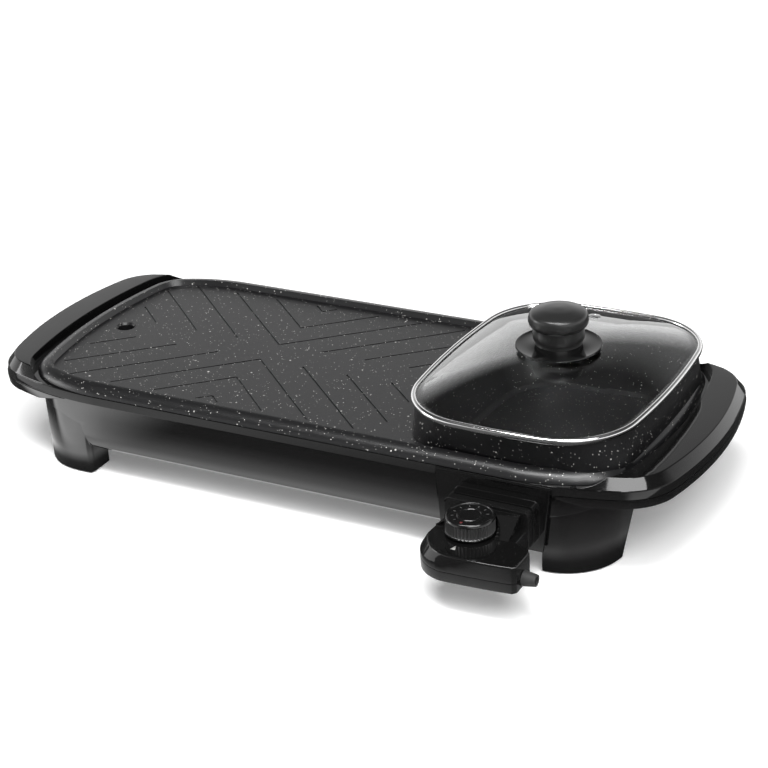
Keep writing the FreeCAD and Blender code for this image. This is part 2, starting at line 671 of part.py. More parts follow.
def terminal_plate():
    """Upright steel plate that carries both insulators."""
    y0 = PLATE_Y
    plate = box(SOCKET_X - 26.0, SOCKET_X + 26.0, y0, y0 + 1.2, PIN_Z - 9.0, PIN_Z + 11.0)
    holes = [rod(5.2 + GAP, V(x, y0 - 1, PIN_Z), V(0, 1, 0), 4.0) for x in pin_x()]
    holes.append(rod(PROBE_R + 0.6, V(SOCKET_X, y0 - 1, PIN_Z), V(0, 1, 0), 4.0))
    return plate.cut(holes)


def pin_insulators():
    """Ceramic beads with a collar on each side of the terminal plate."""
    beads = []
    for x in pin_x():
        body = rod(5.2, V(x, PLATE_Y - 3.0, PIN_Z), V(0, 1, 0), 6.0)
        collar = rod(6.8, V(x, PLATE_Y - 3.0, PIN_Z), V(0, 1, 0), 2.7)
        bore = rod(TUBE_R + RUN, V(x, PLATE_Y - 5.0, PIN_Z), V(0, 1, 0), 12.0)
        beads.append(body.fuse(collar).cut(bore).removeSplitter())
    return Part.makeCompound(beads)


def socket_housing():
    x0, x1 = housing_x()
    face_y = FRONT - HOUSING_PROUD
    back_y = FRONT + 4.0
    points = [V(x0, face_y, DECK_Z), V(x1, face_y, DECK_Z), V(x1 - HOUSING_TAPER, face_y, HOUSING_Z0),
              V(x0 + HOUSING_TAPER / 2, face_y, HOUSING_Z0)]
    face = Part.Face(Part.makePolygon(points + points[:1])).extrude(V(0, HOUSING_FACE_T, 0))
    core_x0 = x0 + HOUSING_SIDE
    core_x1 = x1 - HOUSING_TAPER - HOUSING_SIDE
    core = box(core_x0, core_x1, face_y + 1.0, back_y, HOUSING_Z0 + 1.0, SEAM_Z - GAP)
    hollow = box(core_x0 + MOULD_T, core_x1 - MOULD_T, face_y + HOUSING_FACE_T, back_y + 1.0,
                 HOUSING_Z0 + 1.0 + MOULD_T, SEAM_Z - GAP - MOULD_T)
    collar = round_upright_y(box(SOCKET_X - COLLAR_W / 2, SOCKET_X + COLLAR_W / 2, face_y - COLLAR_OUT, face_y + 1.0,
                                 COLLAR_Z0, COLLAR_Z0 + COLLAR_H), 4.0)
    throat = box(SOCKET_X - SOCKET_W / 2 - MOULD_T, SOCKET_X + SOCKET_W / 2 + MOULD_T, face_y, back_y,
                 PIN_Z - SOCKET_H / 2 - MOULD_T, PIN_Z + SOCKET_H / 2 + MOULD_T)
    mouth = box(SOCKET_X - SOCKET_W / 2, SOCKET_X + SOCKET_W / 2, face_y - COLLAR_OUT - 1.0, back_y - MOULD_T,
                PIN_Z - SOCKET_H / 2, PIN_Z + SOCKET_H / 2)
    housing = face.fuse([core.cut(hollow), collar, throat]).cut(mouth)
    pins = [rod(TUBE_R + 0.6, V(x, PINS_Y0 - 1, PIN_Z), V(0, 1, 0), 40.0) for x in pin_x()]
    pins.append(rod(PROBE_R + 0.6, V(SOCKET_X, PINS_Y0, PIN_Z), V(0, 1, 0), 40.0))
    return housing.cut(pins).removeSplitter()


def round_upright_y(block, r):
    """Rounds a block's four edges that run along y."""
    edges = []
    for edge in block.Edges:
        a, b = edge.Vertexes[0].Point, edge.Vertexes[-1].Point
        if abs(a.y - b.y) > 1e-6:
            edges.append(edge)
    return block.makeFillet(r, edges)


# Lid
def lid_z():
    return POT_RIM_Z + GAP


def dome(z0, d):
    """Domed solid: outlines drawn in as they rise, on a base d inside the lid's outline at z0."""
    shapes = []
    for rise in (0.0, 0.18, 0.42, 0.68, 0.88, 1.0):
        share = max(math.sqrt(1.0 - rise), 0.2)
        hx, hy, straight, side_r, corner_r, end_r = inset(LID, d)
        scaled = (hx * share, hy * share, straight, side_r * share, corner_r * share, end_r * share)
        shapes.append(outline_wire(scaled, z0 + rise * DOME_H, POT_X))
    return Part.makeLoft(shapes, True, False)


GLASS_IN = 1.2              # edge of the glass inside the rim's outside
GLASS_Z = POT_RIM_Z + GAP + 0.8


def lid_glass():
    edge = prism(inset(LID, GLASS_IN), GLASS_Z, GLASS_Z + GLASS_T - 0.8, POT_X)
    outer = dome(GLASS_Z + GLASS_T - 0.8, LID_RIM_W + GAP)
    below = prism(inset(LID, LID_RIM_W + GLASS_T), GLASS_Z - 1.0, GLASS_Z, POT_X)
    inner = dome(GLASS_Z, LID_RIM_W + GLASS_T)
    glass = edge.fuse(outer).cut(inner.fuse(below))
    holes = [rod(LID_SCREW_R + GAP, V(POT_X, 0, GLASS_Z), UP, 2 * DOME_H),
             rod(VENT_R + GAP, V(VENT_X, VENT_Y, GLASS_Z), UP, 2 * DOME_H)]
    return glass.cut(holes).removeSplitter()


def lid_rim():
    """Steel channel round the edge of the glass."""
    z0 = lid_z()
    outer = drafted([(inset(LID, 0.8), z0), (LID, z0 + 1.4), (LID, z0 + LID_RIM_H - 1.6),
                     (inset(LID, 1.2), z0 + LID_RIM_H)], POT_X)
    hole = prism(inset(LID, LID_RIM_W), z0 - 1.0, z0 + LID_RIM_H + 1.0, POT_X)
    groove = prism(inset(LID, GLASS_IN - 0.1), GLASS_Z - 0.05, GLASS_Z + GLASS_T - 0.75, POT_X)
    return outer.cut(hole).cut(groove)


FLANGE_Z = GLASS_Z + GLASS_T - 0.8 + DOME_H + GAP


def knob_flange():
    profile = [(LID_SCREW_R + GAP, FLANGE_Z), (FLANGE_R - 0.8, FLANGE_Z), (FLANGE_R, FLANGE_Z + 0.6),
               (FLANGE_R - 0.4, FLANGE_Z + 1.3), (KNOB_FOOT_R + 2.0, FLANGE_Z + FLANGE_T - 0.4),
               (KNOB_FOOT_R - 1.0, FLANGE_Z + FLANGE_T), (LID_SCREW_R + GAP, FLANGE_Z + FLANGE_T)]
    return turned(profile, POT_X, 0)


def lid_knob():
    z0 = FLANGE_Z + FLANGE_T
    top = z0 + KNOB_H
    points = [(0, z0 + KNOB_BORE), (LID_SCREW_R, z0 + KNOB_BORE), (LID_SCREW_R, z0), (KNOB_FOOT_R, z0),
              (KNOB_FOOT_R, z0 + 3.4), (KNOB_NECK_R, z0 + 4.2), (KNOB_NECK_R, z0 + 15.0),
              (KNOB_R - 1.2, z0 + 17.0), (KNOB_R - 0.3, z0 + 19.5), (KNOB_R, top - 9.5),
              (KNOB_R - 0.8, top - 6.0), (KNOB_R - 2.2, top - 4.2), (KNOB_R - 4.6, top - 3.0),
              (KNOB_R - 12.6, top - 0.9), (0, top)]
    return turned(points, POT_X, 0)


def knob_washer():
    z1 = GLASS_Z + DOME_H - GAP
    return rod(9.0, V(POT_X, 0, z1 - 1.5), UP, 1.5).cut(rod(LID_SCREW_R + GAP, V(POT_X, 0, z1 - 3), UP, 6))


def knob_screw():
    z1 = GLASS_Z + DOME_H - GAP - 1.5
    head = rod(4.6, V(POT_X, 0, z1 - 2.4), UP, 2.4)
    shank = rod(LID_SCREW_R - RUN, V(POT_X, 0, z1 - 1.0), UP, FLANGE_Z + FLANGE_T + KNOB_BORE - z1)
    return head.fuse(shank).removeSplitter()


def vent_eyelet():
    """Steel eyelet through the glass near the back of the lid."""
    mid_z = vent_height()
    tube = rod(VENT_R, V(VENT_X, VENT_Y, mid_z - 5.5), UP, 9.0)
    top = rod(VENT_R + 2.0, V(VENT_X, VENT_Y, mid_z + 2.4), UP, 1.1)
    low = rod(VENT_R + 1.4, V(VENT_X, VENT_Y, mid_z - 6.4), UP, 1.0)
    bore = rod(VENT_R - 1.2, V(VENT_X, VENT_Y, mid_z - 9), UP, 20.0)
    return tube.fuse([top, low]).cut(bore).removeSplitter()


def vent_height():
    """Top of the glass beside the vent."""
    probe = Part.makeLine(V(VENT_X + VENT_R + 2.0, VENT_Y, GLASS_Z), V(VENT_X + VENT_R + 2.0, VENT_Y, GLASS_Z + 60.0))
    hit = lid_glass_blank().common(probe)
    return hit.BoundBox.ZMax


def lid_glass_blank():
    return dome(GLASS_Z + GLASS_T - 0.8, LID_RIM_W + GAP)


# Controller
def flange_y():
    """Back face of the controller's flange."""
    return FRONT - HOUSING_PROUD - COLLAR_OUT - FLANGE_GAP


def ctrl_front():
    return flange_y() - FLANGE_PLATE_T - CTRL_REACH


def dial_y():
    return flange_y() - FLANGE_PLATE_T - DIAL_BACK - DIAL_R


DIAL_X = POT_X + 1.0


CTRL_BOW = 3.5              # the front's left part stands out this much
CTRL_CORNER = 30.0          # length of the round left corner, either way
CTRL_LEAN = 6.0             # the upper shell's left side leans in this much towards its top
CTRL_LEAN_Z = CTRL_Z1 - 10.0


def ctrl_wire(d, z, lean=0.0):
    """Controller's plan, d inside its outside: a wide bowed front, stepped in at the back right."""
    x0 = CTRL_X0 + lean
    y_front = ctrl_front()
    y_back = flange_y() - FLANGE_PLATE_T
    neck_x = SOCKET_X + COLLAR_W / 2
    step_y = y_front + 28.0
    corner_in = V(x0, y_front + CTRL_CORNER - 4.0, z)
    corner_mid = V(x0 + 0.29 * CTRL_CORNER, y_front + 0.25 * CTRL_CORNER + lean / 3, z)
    corner_out = V(x0 + CTRL_CORNER, y_front - CTRL_BOW + lean / 4, z)
    bow_mid = V((corner_out.x + CTRL_X1) / 2, y_front - CTRL_BOW / 2 - 0.6, z)
    right = [V(CTRL_X1 - 3.0, y_front, z), V(CTRL_X1, y_front + 3.0, z), V(CTRL_X1, step_y, z),
             V(neck_x, step_y + 10.0, z), V(neck_x, y_back, z), V(x0 + 2.0, y_back, z), corner_in]
    edges = [Part.Arc(corner_in, corner_mid, corner_out).toShape(),
             Part.Arc(corner_out, bow_mid, right[0]).toShape()]
    edges += [Part.LineSegment(p, q).toShape() for p, q in zip(right, right[1:])]
    plan = Part.Wire(edges)
    return plan.makeOffset2D(-d) if d > 0 else plan


def ctrl_body(d, z0, z1):
    """Solid of the controller's plan, which leans in above CTRL_LEAN_Z."""
    low_top = min(z1, CTRL_LEAN_Z)
    body = Part.Face(ctrl_wire(d, z0)).extrude(UP * (low_top - z0))
    if z1 > CTRL_LEAN_Z:
        lean = CTRL_LEAN * (z1 - CTRL_LEAN_Z) / (CTRL_Z1 - CTRL_LEAN_Z)
        body = body.fuse(Part.makeLoft([ctrl_wire(d, CTRL_LEAN_Z), ctrl_wire(d, z1, lean)], True, True))
    return body.removeSplitter()


def controller_lower_shell():
    body = ctrl_body(0.0, CTRL_Z0, CTRL_SEAM_Z)
    room = ctrl_body(MOULD_T, CTRL_Z0 + MOULD_T, CTRL_SEAM_Z + 1.0)
    posts = [rod(3.4, V(x, y, CTRL_Z0 + 1.0), UP, CTRL_SEAM_Z - CTRL_Z0 - 1.0) for x, y in ctrl_screw_places()]
    holes = [rod(SCREW_R + 0.3, V(x, y, CTRL_Z0 - 1.0), UP, 20.0) for x, y in ctrl_screw_places()]
    holes += [rod(HEAD_R + 0.3, V(x, y, CTRL_Z0 - 1.0), UP, 1.0 + HEAD_H) for x, y in ctrl_screw_places()]
    shell = body.cut(room).fuse(posts).cut(holes)
    return shell.cut(gland_hole()).removeSplitter()


def ctrl_screw_places():
    y_mid = ctrl_front() + 12.0
    return [(CTRL_X1 - 12.0, y_mid), (CTRL_X0 + 18.0, y_mid + 12.0), 
            (SOCKET_X + COLLAR_W / 2 - 9.0, flange_y() - FLANGE_PLATE_T - 9.0)]


def gland_place():
    return V(CTRL_X1, ctrl_front() + 15.5, CTRL_Z0 + 7.0)


def gland_hole():
    p = gland_place()
    return rod(GLAND_R - 1.5 + GAP, p - V(6.0, 0, 0), V(1, 0, 0), 12.0)


def controller_upper_shell():
    z0 = CTRL_SEAM_Z + GAP
    body = ctrl_body(0.0, z0, CTRL_Z1)
    top = [e for e in body.Edges if abs(e.BoundBox.ZMin - CTRL_Z1) < 1e-6 and abs(e.BoundBox.ZMax - CTRL_Z1) < 1e-6
           and e.CenterOfMass.y < flange_y() - FLANGE_PLATE_T - 2.0]
    body = body.makeFillet(1.6, top)
    room = ctrl_body(MOULD_T, z0 - 1.0, CTRL_Z1 - MOULD_T)
    y_back = flange_y() - FLANGE_PLATE_T
    hump_x0 = DIAL_X + 9.0
    hump_x1 = SOCKET_X + COLLAR_W / 2 - 6.0
    ramp = [V(hump_x0, y_back - 27.0, CTRL_Z1 - 1.0), V(hump_x0, y_back - 6.0, COLLAR_Z0 + COLLAR_H - 3.0),
            V(hump_x0, y_back, COLLAR_Z0 + COLLAR_H - 2.0), V(hump_x0, y_back, CTRL_Z1 - 1.0)]
    hump = Part.Face(Part.makePolygon(ramp + ramp[:1])).extrude(V(hump_x1 - hump_x0, 0, 0))
    hump_room = hump.copy()
    hump_room.translate(V(0, 0, -MOULD_T))
    hump_room = hump_room.common(box(hump_x0 + MOULD_T, hump_x1 - MOULD_T, -WIDTH * 2, 0, 0, DECK_Z))
    hump_room = hump_room.cut(rod(DIAL_R + DIAL_ROOM + MOULD_T, V(DIAL_X, dial_y(), 0), UP, DECK_Z))
    dial_room = rod(DIAL_R + DIAL_ROOM, V(DIAL_X, dial_y(), CTRL_Z1), UP, 40.0)
    seat = rod(DIAL_R - 3.0, V(DIAL_X, dial_y(), CTRL_Z1 - 1.0), UP, 1.0 + DIAL_LIFT - GAP)
    shaft_hole = rod(SHAFT_R + RUN, V(DIAL_X, dial_y(), z0), UP, 40.0)
    posts = [rod(3.4, V(x, y, z0), UP, CTRL_Z1 - 1.0 - z0) for x, y in ctrl_screw_places()]
    holes = [rod(SCREW_R - RUN, V(x, y, z0 - 1.0), UP, 9.0) for x, y in ctrl_screw_places()]
    holes.append(rod(PROBE_R + GAP, V(SOCKET_X, y_back - 14.0, PIN_Z), V(0, 1, 0), 15.0))
    shell = body.cut(room).fuse([hump.cut(dial_room), seat] + posts).cut(hump_room)
    return shell.cut([shaft_hole, gland_hole()] + holes).removeSplitter()


def controller_flange():
    y0 = flange_y() - FLANGE_PLATE_T + RUN
    plate = round_upright_y(box(SOCKET_X - COLLAR_W / 2, SOCKET_X + COLLAR_W / 2, y0, flange_y(),
                                COLLAR_Z0, COLLAR_Z0 + COLLAR_H), 4.0)
    holes = [rod(TUBE_R + 2.6 + GAP, V(x, y0 - 1, PIN_Z), V(0, 1, 0), 20.0) for x in pin_x()]
    holes.append(rod(PROBE_R + GAP, V(SOCKET_X, y0 - 1, PIN_Z), V(0, 1, 0), 20.0))
    return plate.cut(holes)


def nose_block():
    """Heat-proof nose that enters the socket and holds the contacts."""
    y0 = flange_y() + RUN
    y1 = FRONT + 4.0 - MOULD_T - 3.0
    play = 0.6
    nose = round_upright_y(box(SOCKET_X - SOCKET_W / 2 + play, SOCKET_X + SOCKET_W / 2 - play, y0, y1,
                               PIN_Z - SOCKET_H / 2 + play, PIN_Z + SOCKET_H / 2 - play), 2.0)
    holes = [rod(TUBE_R + 2.6 + GAP, V(x, y0 - 1, PIN_Z), V(0, 1, 0), 40.0) for x in pin_x()]
    holes.append(rod(PROBE_R + GAP, V(SOCKET_X, y0 - 1, PIN_Z), V(0, 1, 0), 40.0))
    return nose.cut(holes)


def contact_sockets():
    """Split sleeves that grip the contact pins."""
    sleeves = []
    y0 = flange_y() - FLANGE_PLATE_T + RUN
    y1 = FRONT - HOUSING_PROUD - 1.0
    for x in pin_x():
        sleeve = rod(TUBE_R + 2.6, V(x, y0, PIN_Z), V(0, 1, 0), y1 - y0)
        bore = rod(TUBE_R + RUN + 0.03, V(x, PINS_Y0 - 3.0, PIN_Z), V(0, 1, 0), 60.0)
        sleeves.append(sleeve.cut([bore]).removeSplitter())
    return Part.makeCompound(sleeves)


def sensor_probe():
    y0 = flange_y() - FLANGE_PLATE_T - 12.0
    tip = -POT_LOW[1] - 3.6
    bar = rod(PROBE_R, V(SOCKET_X, y0, PIN_Z), V(0, 1, 0), tip - y0 - PROBE_R)
    nose = Part.makeSphere(PROBE_R, V(SOCKET_X, tip - PROBE_R, PIN_Z))
    return bar.fuse(nose).removeSplitter()


def thermostat_block():
    """Switch block under the dial, with the probe's bimetal arm behind it."""
    y_back = flange_y() - FLANGE_PLATE_T - 12.5
    z0 = CTRL_Z0 + MOULD_T + GAP
    block = box(DIAL_X - 13.0, DIAL_X + 13.0, y_back - 20.0, y_back, z0, CTRL_Z1 - MOULD_T - 6.0)
    return block.cut(rod(SHAFT_R + RUN, V(DIAL_X, dial_y(), CTRL_Z1 - MOULD_T - 9.0), UP, 10.0))


def dial_shaft():
    z0 = CTRL_Z1 - MOULD_T - 8.0
    return rod(SHAFT_R, V(DIAL_X, dial_y(), z0), UP, CTRL_Z1 + DIAL_LIFT + DIAL_H - 4.0 - z0)


def dial():
    z0 = CTRL_Z1 + DIAL_LIFT
    z1 = z0 + DIAL_H
    profile = [(0, z0), (DIAL_R - 0.5, z0), (DIAL_R, z0 + 0.5), (DIAL_R, z0 + 1.8), (DIAL_R - 0.5, z0 + 2.2),
               (DIAL_R - 0.5, z0 + 7.4), (DIAL_R, z0 + 8.0), (DIAL_R - 0.4, z1 - 1.6), (DIAL_R - 1.8, z1),
               (DIAL_R - 2.6, z1 - 0.5), (10.2, z1 - 0.5), (9.8, z1), (9.0, z1), (8.6, z1 - 0.5), (0, z1 - 0.5)]
    knob = turned(profile, DIAL_X, dial_y())
    cuts = [rod(SHAFT_R, V(DIAL_X, dial_y(), z0 - 1), UP, DIAL_H - 3.0)]
    for k in range(DIAL_RIBS):
        a = 2 * math.pi * k / DIAL_RIBS
        centre = V(DIAL_X + DIAL_R * math.cos(a), dial_y() + DIAL_R * math.sin(a), z0 + 2.2)
        cuts.append(Part.makeBox(1.3, 1.3, 5.2, centre - V(0.65, 0.65, 0), UP).copy())
        cuts[-1].rotate(centre, UP, math.degrees(a))
    return knob.cut(cuts)


def cord_gland():
    p = gland_place()
    x = V(1, 0, 0)
    body = rod(GLAND_R - 1.5, p - V(MOULD_T + 2.5, 0, 0), x, MOULD_T + 3.0)
    inner = rod(GLAND_R, p - V(MOULD_T + 2.5, 0, 0), x, 2.0)
    outer = Part.makeCone(GLAND_R, GLAND_R - 1.6, GLAND_LEN, p + V(GAP, 0, 0), x)
    inner = inner.cut(box(CTRL_X0, CTRL_X1, p.y - 20.0, p.y + 20.0, 0, CTRL_Z0 + MOULD_T + GAP))
    return body.fuse([inner, outer]).cut(rod(GLAND_BORE_R, p - V(10.0, 0, 0), x, 40.0)).removeSplitter()


# Grease tray
def grease_tray():
    x0 = TRAY_X0
    half = TRAY_W / 2
    z0 = TRAY_FLOOR_Z
    bin_ = box(x0 + 3.0, x0 + TRAY_LEN, -half, half, z0, z0 + TRAY_H)
    bin_ = round_upright(bin_, 8.0, lambda p: p.x > x0 + 10.0)
    room = box(x0 + 3.0 + TRAY_T, x0 + TRAY_LEN - TRAY_T, -half + TRAY_T, half - TRAY_T, z0 + TRAY_T, z0 + TRAY_H + 1.0)
    room = round_upright(room, 8.0 - TRAY_T)
    front = box(x0, x0 + 3.0, -half - 3.0, half + 3.0, z0, z0 + FRONT_H)
    grip = box(x0 - 9.0, x0 + 1.0, -22.0, 22.0, z0 + FRONT_H - 8.0, z0 + FRONT_H - 5.0)
    return bin_.cut(room).fuse([front, grip]).removeSplitter()


# Fasteners
def screw(p, direction, length):
    return rod(HEAD_R, p, direction, HEAD_H).fuse(rod(SCREW_R - RUN, p, direction, length)).removeSplitter()


def case_screws():
    z0 = CASE_POST_Z - UNDER_HEAD - HEAD_H
    return Part.makeCompound(four(screw(V(CASE_X, CASE_Y, z0), UP, UNDER_HEAD + HEAD_H + THREAD)))


def pan_screws():
    z0 = REFLECTOR_Z - UNDER_HEAD - HEAD_H
    screws = []
    for bx, by in PAN_BOSSES:
        for sy in (1, -1):
            screws.append(screw(V(bx, sy * by, z0), UP, UNDER_HEAD + HEAD_H + THREAD))
    return Part.makeCompound(screws)


def controller_screws():
    return Part.makeCompound([screw(V(x, y, CTRL_Z0), UP, 14.0) for x, y in ctrl_screw_places()])


FRAME_SHIFT = -(ctrl_front() + FRAME[1]) / 2


def save(name, shape):
    moved = shape.copy()
    moved.translate(V(0, FRAME_SHIFT, 0))
    moved.exportStep("parts/" + name + ".step")
    ok = moved.isValid()
    print(name, len(moved.Solids), "solids", round(moved.Volume / 1000.0, 2), "cm3", "valid" if ok else "NOT VALID")


def main():
    os.makedirs("parts", exist_ok=True)
    save("grill_pan", grill_pan())
    save("top_frame", top_frame())
    save("base_shell", base_shell())
    save("bottom_plate", bottom_plate())
    for number, pad in enumerate(foot_pads(), 1):
        save("foot_pad_%d" % number, pad)
    save("heating_element", heating_element())
    save("element_clamps", element_clamps())
    save("grill_reflector", grill_reflector())
    save("pot_reflector", pot_reflector())
    save("terminal_plate", terminal_plate())
    save("pin_insulators", pin_insulators())
    save("socket_housing", socket_housing())
    save("lid_glass", lid_glass())
    save("lid_rim", lid_rim())
    save("knob_flange", knob_flange())
    save("lid_knob", lid_knob())
    save("knob_washer", knob_washer())
    save("knob_screw", knob_screw())
    save("vent_eyelet", vent_eyelet())
    save("controller_lower_shell", controller_lower_shell())
    save("controller_upper_shell", controller_upper_shell())
    save("controller_flange", controller_flange())
    save("nose_block", nose_block())
    save("contact_sockets", contact_sockets())
    save("sensor_probe", sensor_probe())
    save("thermostat_block", thermostat_block())
    save("dial_shaft", dial_shaft())
    save("dial", dial())
    save("cord_gland", cord_gland())
    save("grease_tray", grease_tray())
    save("case_screws", case_screws())
    save("pan_screws", pan_screws())
    save("controller_screws", controller_screws())
    print("origin moved back by", round(-FRAME_SHIFT, 3))


main()
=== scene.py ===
"""Electric grill with a lidded pot: a lesson in dressing a CAD model for a studio picture.

The CAD model gives every piece its place and size. This script gives the pieces their finishes,
builds the few that need a finer surface once more, and sets up the camera, the table and the light.
Lengths are in metres. x runs along the grill to the right, y to the back and z up.
"""
# %% [markdown]
# The frame. The real grill is put together from a cast pan, a moulded frame and base, a lid, a
# plug-in controller and small parts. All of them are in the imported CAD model, each as a mesh that
# already rides on the body it moves with. They could be modelled a second time by eye, but would
# only fit worse. So they are loaded as they are, and the looks go on top.

# %% Frame
import bmesh
import bpy
import json
import math
import numpy as np
from mathutils import Matrix, Vector


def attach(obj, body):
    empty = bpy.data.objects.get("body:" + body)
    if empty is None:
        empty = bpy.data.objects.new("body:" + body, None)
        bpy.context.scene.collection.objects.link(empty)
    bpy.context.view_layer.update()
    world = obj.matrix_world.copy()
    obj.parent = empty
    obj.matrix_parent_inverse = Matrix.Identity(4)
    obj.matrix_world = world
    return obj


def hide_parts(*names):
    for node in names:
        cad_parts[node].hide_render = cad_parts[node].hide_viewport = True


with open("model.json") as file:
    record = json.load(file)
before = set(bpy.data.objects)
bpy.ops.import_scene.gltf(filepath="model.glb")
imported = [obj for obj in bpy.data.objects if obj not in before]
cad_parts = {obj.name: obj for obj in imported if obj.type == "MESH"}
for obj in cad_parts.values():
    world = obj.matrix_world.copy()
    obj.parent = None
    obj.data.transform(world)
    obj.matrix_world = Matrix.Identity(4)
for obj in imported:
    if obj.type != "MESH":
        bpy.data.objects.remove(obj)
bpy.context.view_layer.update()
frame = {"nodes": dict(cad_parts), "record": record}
nodes = frame["nodes"]
print("CAD pieces:", len(nodes))

# %% [markdown]
# The camera. A product picture is taken from a few steps away with a long lens, so that the far
# handle looks hardly smaller than the near one. A camera could follow a target by a constraint.
# Here its three axes are written out, because the picture is also rolled a little. The values
# were fitted to points of the outline, such as the tips of the handles and the rim of the lid.

# %% Camera
TURN = math.radians(28.97)       # round the object, from straight in front of it
HEIGHT = math.radians(25.31)     # above the table
ROLL = math.radians(-3.04)       # about the line of sight
SENSOR = 36.0                    # mm across
LENS = 97.97                     # mm
NEAREST, FARTHEST = 0.05, 50.0   # what the camera draws
EYE = Vector((0.83633, -1.43359, 0.87161))


def add_camera():
    """Camera at EYE that looks against its back axis.

    The back axis is (sin TURN cos HEIGHT, -cos TURN cos HEIGHT, sin HEIGHT). The level axis lies
    square to it, parallel to the table. The right axis is cos ROLL times level plus sin ROLL times
    up, and the one above is cos ROLL times up minus sin ROLL times level.
    """
    back = Vector((math.sin(TURN) * math.cos(HEIGHT), -math.cos(TURN) * math.cos(HEIGHT), math.sin(HEIGHT)))
    level = Vector((math.cos(TURN), math.sin(TURN), 0.0))
    up = back.cross(level)
    right = math.cos(ROLL) * level + math.sin(ROLL) * up
    above = -math.sin(ROLL) * level + math.cos(ROLL) * up
    data = bpy.data.cameras.new("camera")
    data.lens, data.sensor_width = LENS, SENSOR
    data.clip_start, data.clip_end = NEAREST, FARTHEST
    camera = bpy.data.objects.new("camera", data)
    camera.matrix_world = Matrix.Translation(EYE) @ Matrix((right, above, back)).transposed().to_4x4()
    bpy.context.scene.collection.objects.link(camera)
    bpy.context.scene.camera = camera
    print("camera:", round(EYE.length, 3), "m from the middle of the table")


add_camera()

# %% [markdown]
# Finishes. The object is made of moulded plastic, bare metal, glass and one speckled coating. The
# Principled BSDF can be each of these, so a finish is mostly a choice of its colour, roughness and
# metalness. Pictures wrapped round the pieces could do the same, but they would need unwrapping.
# Patterns made by nodes need none, because they read the place in space. First come helpers that
# make nodes and join them, so that a finish reads like a recipe.

# %% Helpers for nodes


def new_material(name):
    """Empty material, with its tree of nodes and its shader."""
    material = bpy.data.materials.new(name)
    material.use_nodes = True
    tree = material.node_tree
    return material, tree, tree.nodes["Principled BSDF"]


def add_node(tree, kind, **values):
    """Node of a kind. Each value is a setting of the node, or else the input of that name."""
    node = tree.nodes.new(kind)
    for key, value in values.items():
        if hasattr(node, key):
            setattr(node, key, value)
        else:
            node.inputs[key.replace("_", " ")].default_value = value
    return node


def feed(tree, socket, term):
    """Gives an input its value, which is a number or the output of another node."""
    if isinstance(term, float):
        socket.default_value = term
    else:
        tree.links.new(term, socket)


# %% Sums and ranges


def calc(tree, operation, *terms):
    """One step of arithmetic on its terms, such as their product or the greater of two."""
    node = add_node(tree, "ShaderNodeMath", operation=operation)
    for socket, term in zip(node.inputs, terms):
        feed(tree, socket, term)
    return node.outputs["Value"]


def remap(tree, value, start, stop, low=0.0, high=1.0, curve="SMOOTHSTEP"):
    """low + s (high - low), where s goes from 0 at start to 1 at stop.

    The curve is linear, or a smooth step, where s is replaced by 3 s² - 2 s³.
    """
    node = add_node(tree, "ShaderNodeMapRange", interpolation_type=curve)
    ends = (("Value", value), ("From Min", start), ("From Max", stop), ("To Min", low), ("To Max", high))
    for socket, term in ends:
        feed(tree, node.inputs[socket], term)
    return node.outputs["Result"]


# %% [markdown]
# Grain. No moulded or rolled surface is quite even. Seen close, its gloss wanders and there is a
# faint relief. Several finishes need this, so it is a node group: built once, with named inputs,
# and placed in each material with values of its own. One change to the group reaches them all.

# %% Grain group


def new_group(name, given, made):
    """Empty node group with inputs and outputs of the given names, and its two end nodes."""
    group = bpy.data.node_groups.new(name, "ShaderNodeTree")
    for socket in given:
        kind = "NodeSocketVector" if socket == "Vector" else "NodeSocketFloat"
        group.interface.new_socket(name=socket, in_out="INPUT", socket_type=kind)
    for socket in made:
        group.interface.new_socket(name=socket, in_out="OUTPUT", socket_type="NodeSocketFloat")
    return group, group.nodes.new("NodeGroupInput").outputs, group.nodes.new("NodeGroupOutput").inputs


def grain_group():
    """Noise n between 0 and 1 at a place, and a roughness of Low + n (High - Low)."""
    group, given, made = new_group("grain", ("Vector", "Scale", "Detail", "Low", "High"),
                                   ("Roughness", "Grain"))
    noise = add_node(group, "ShaderNodeTexNoise")
    for socket in ("Vector", "Scale", "Detail"):
        group.links.new(given[socket], noise.inputs[socket])
    fac = noise.outputs["Fac"]
    gloss = remap(group, fac, 0.0, 1.0, given["Low"], given["High"], curve="LINEAR")
    group.links.new(gloss, made["Roughness"])
    group.links.new(fac, made["Grain"])
    return group


GRAIN = grain_group()
print("group:", GRAIN.name)

# %% Placing a group


def object_place(tree):
    """The place on a piece, in its own coordinates."""
    return add_node(tree, "ShaderNodeTexCoord").outputs["Object"]


def use_group(tree, group, place, **values):
    """Outputs of a group that reads the place and has these values."""
    node = tree.nodes.new("ShaderNodeGroup")
    node.node_tree = group
    tree.links.new(place, node.inputs["Vector"])
    for socket, value in values.items():
        node.inputs[socket].default_value = value
    return node.outputs


def relief(tree, bsdf, height, strength, depth):
    """Tilts the surface's normal as if the height, 0 to 1, were raised by depth."""
    bump = add_node(tree, "ShaderNodeBump", Strength=strength, Distance=depth)
    tree.links.new(height, bump.inputs["Height"])
    tree.links.new(bump.outputs["Normal"], bsdf.inputs["Normal"])


FINE_DETAIL = 3.0                # finer noises laid over the first one
GRAIN_DEPTH = 0.0002


def uneven(tree, bsdf, roughness, spread, scale, strength):
    """Roughness between roughness (1 - spread) and roughness (1 + spread), and the grain's relief."""
    grain = use_group(tree, GRAIN, object_place(tree), Scale=scale, Detail=FINE_DETAIL,
                      Low=roughness * (1 - spread), High=roughness * (1 + spread))
    tree.links.new(grain["Roughness"], bsdf.inputs["Roughness"])
    if strength > 0.0:
        relief(tree, bsdf, grain["Grain"], strength, GRAIN_DEPTH)
    return grain["Grain"]


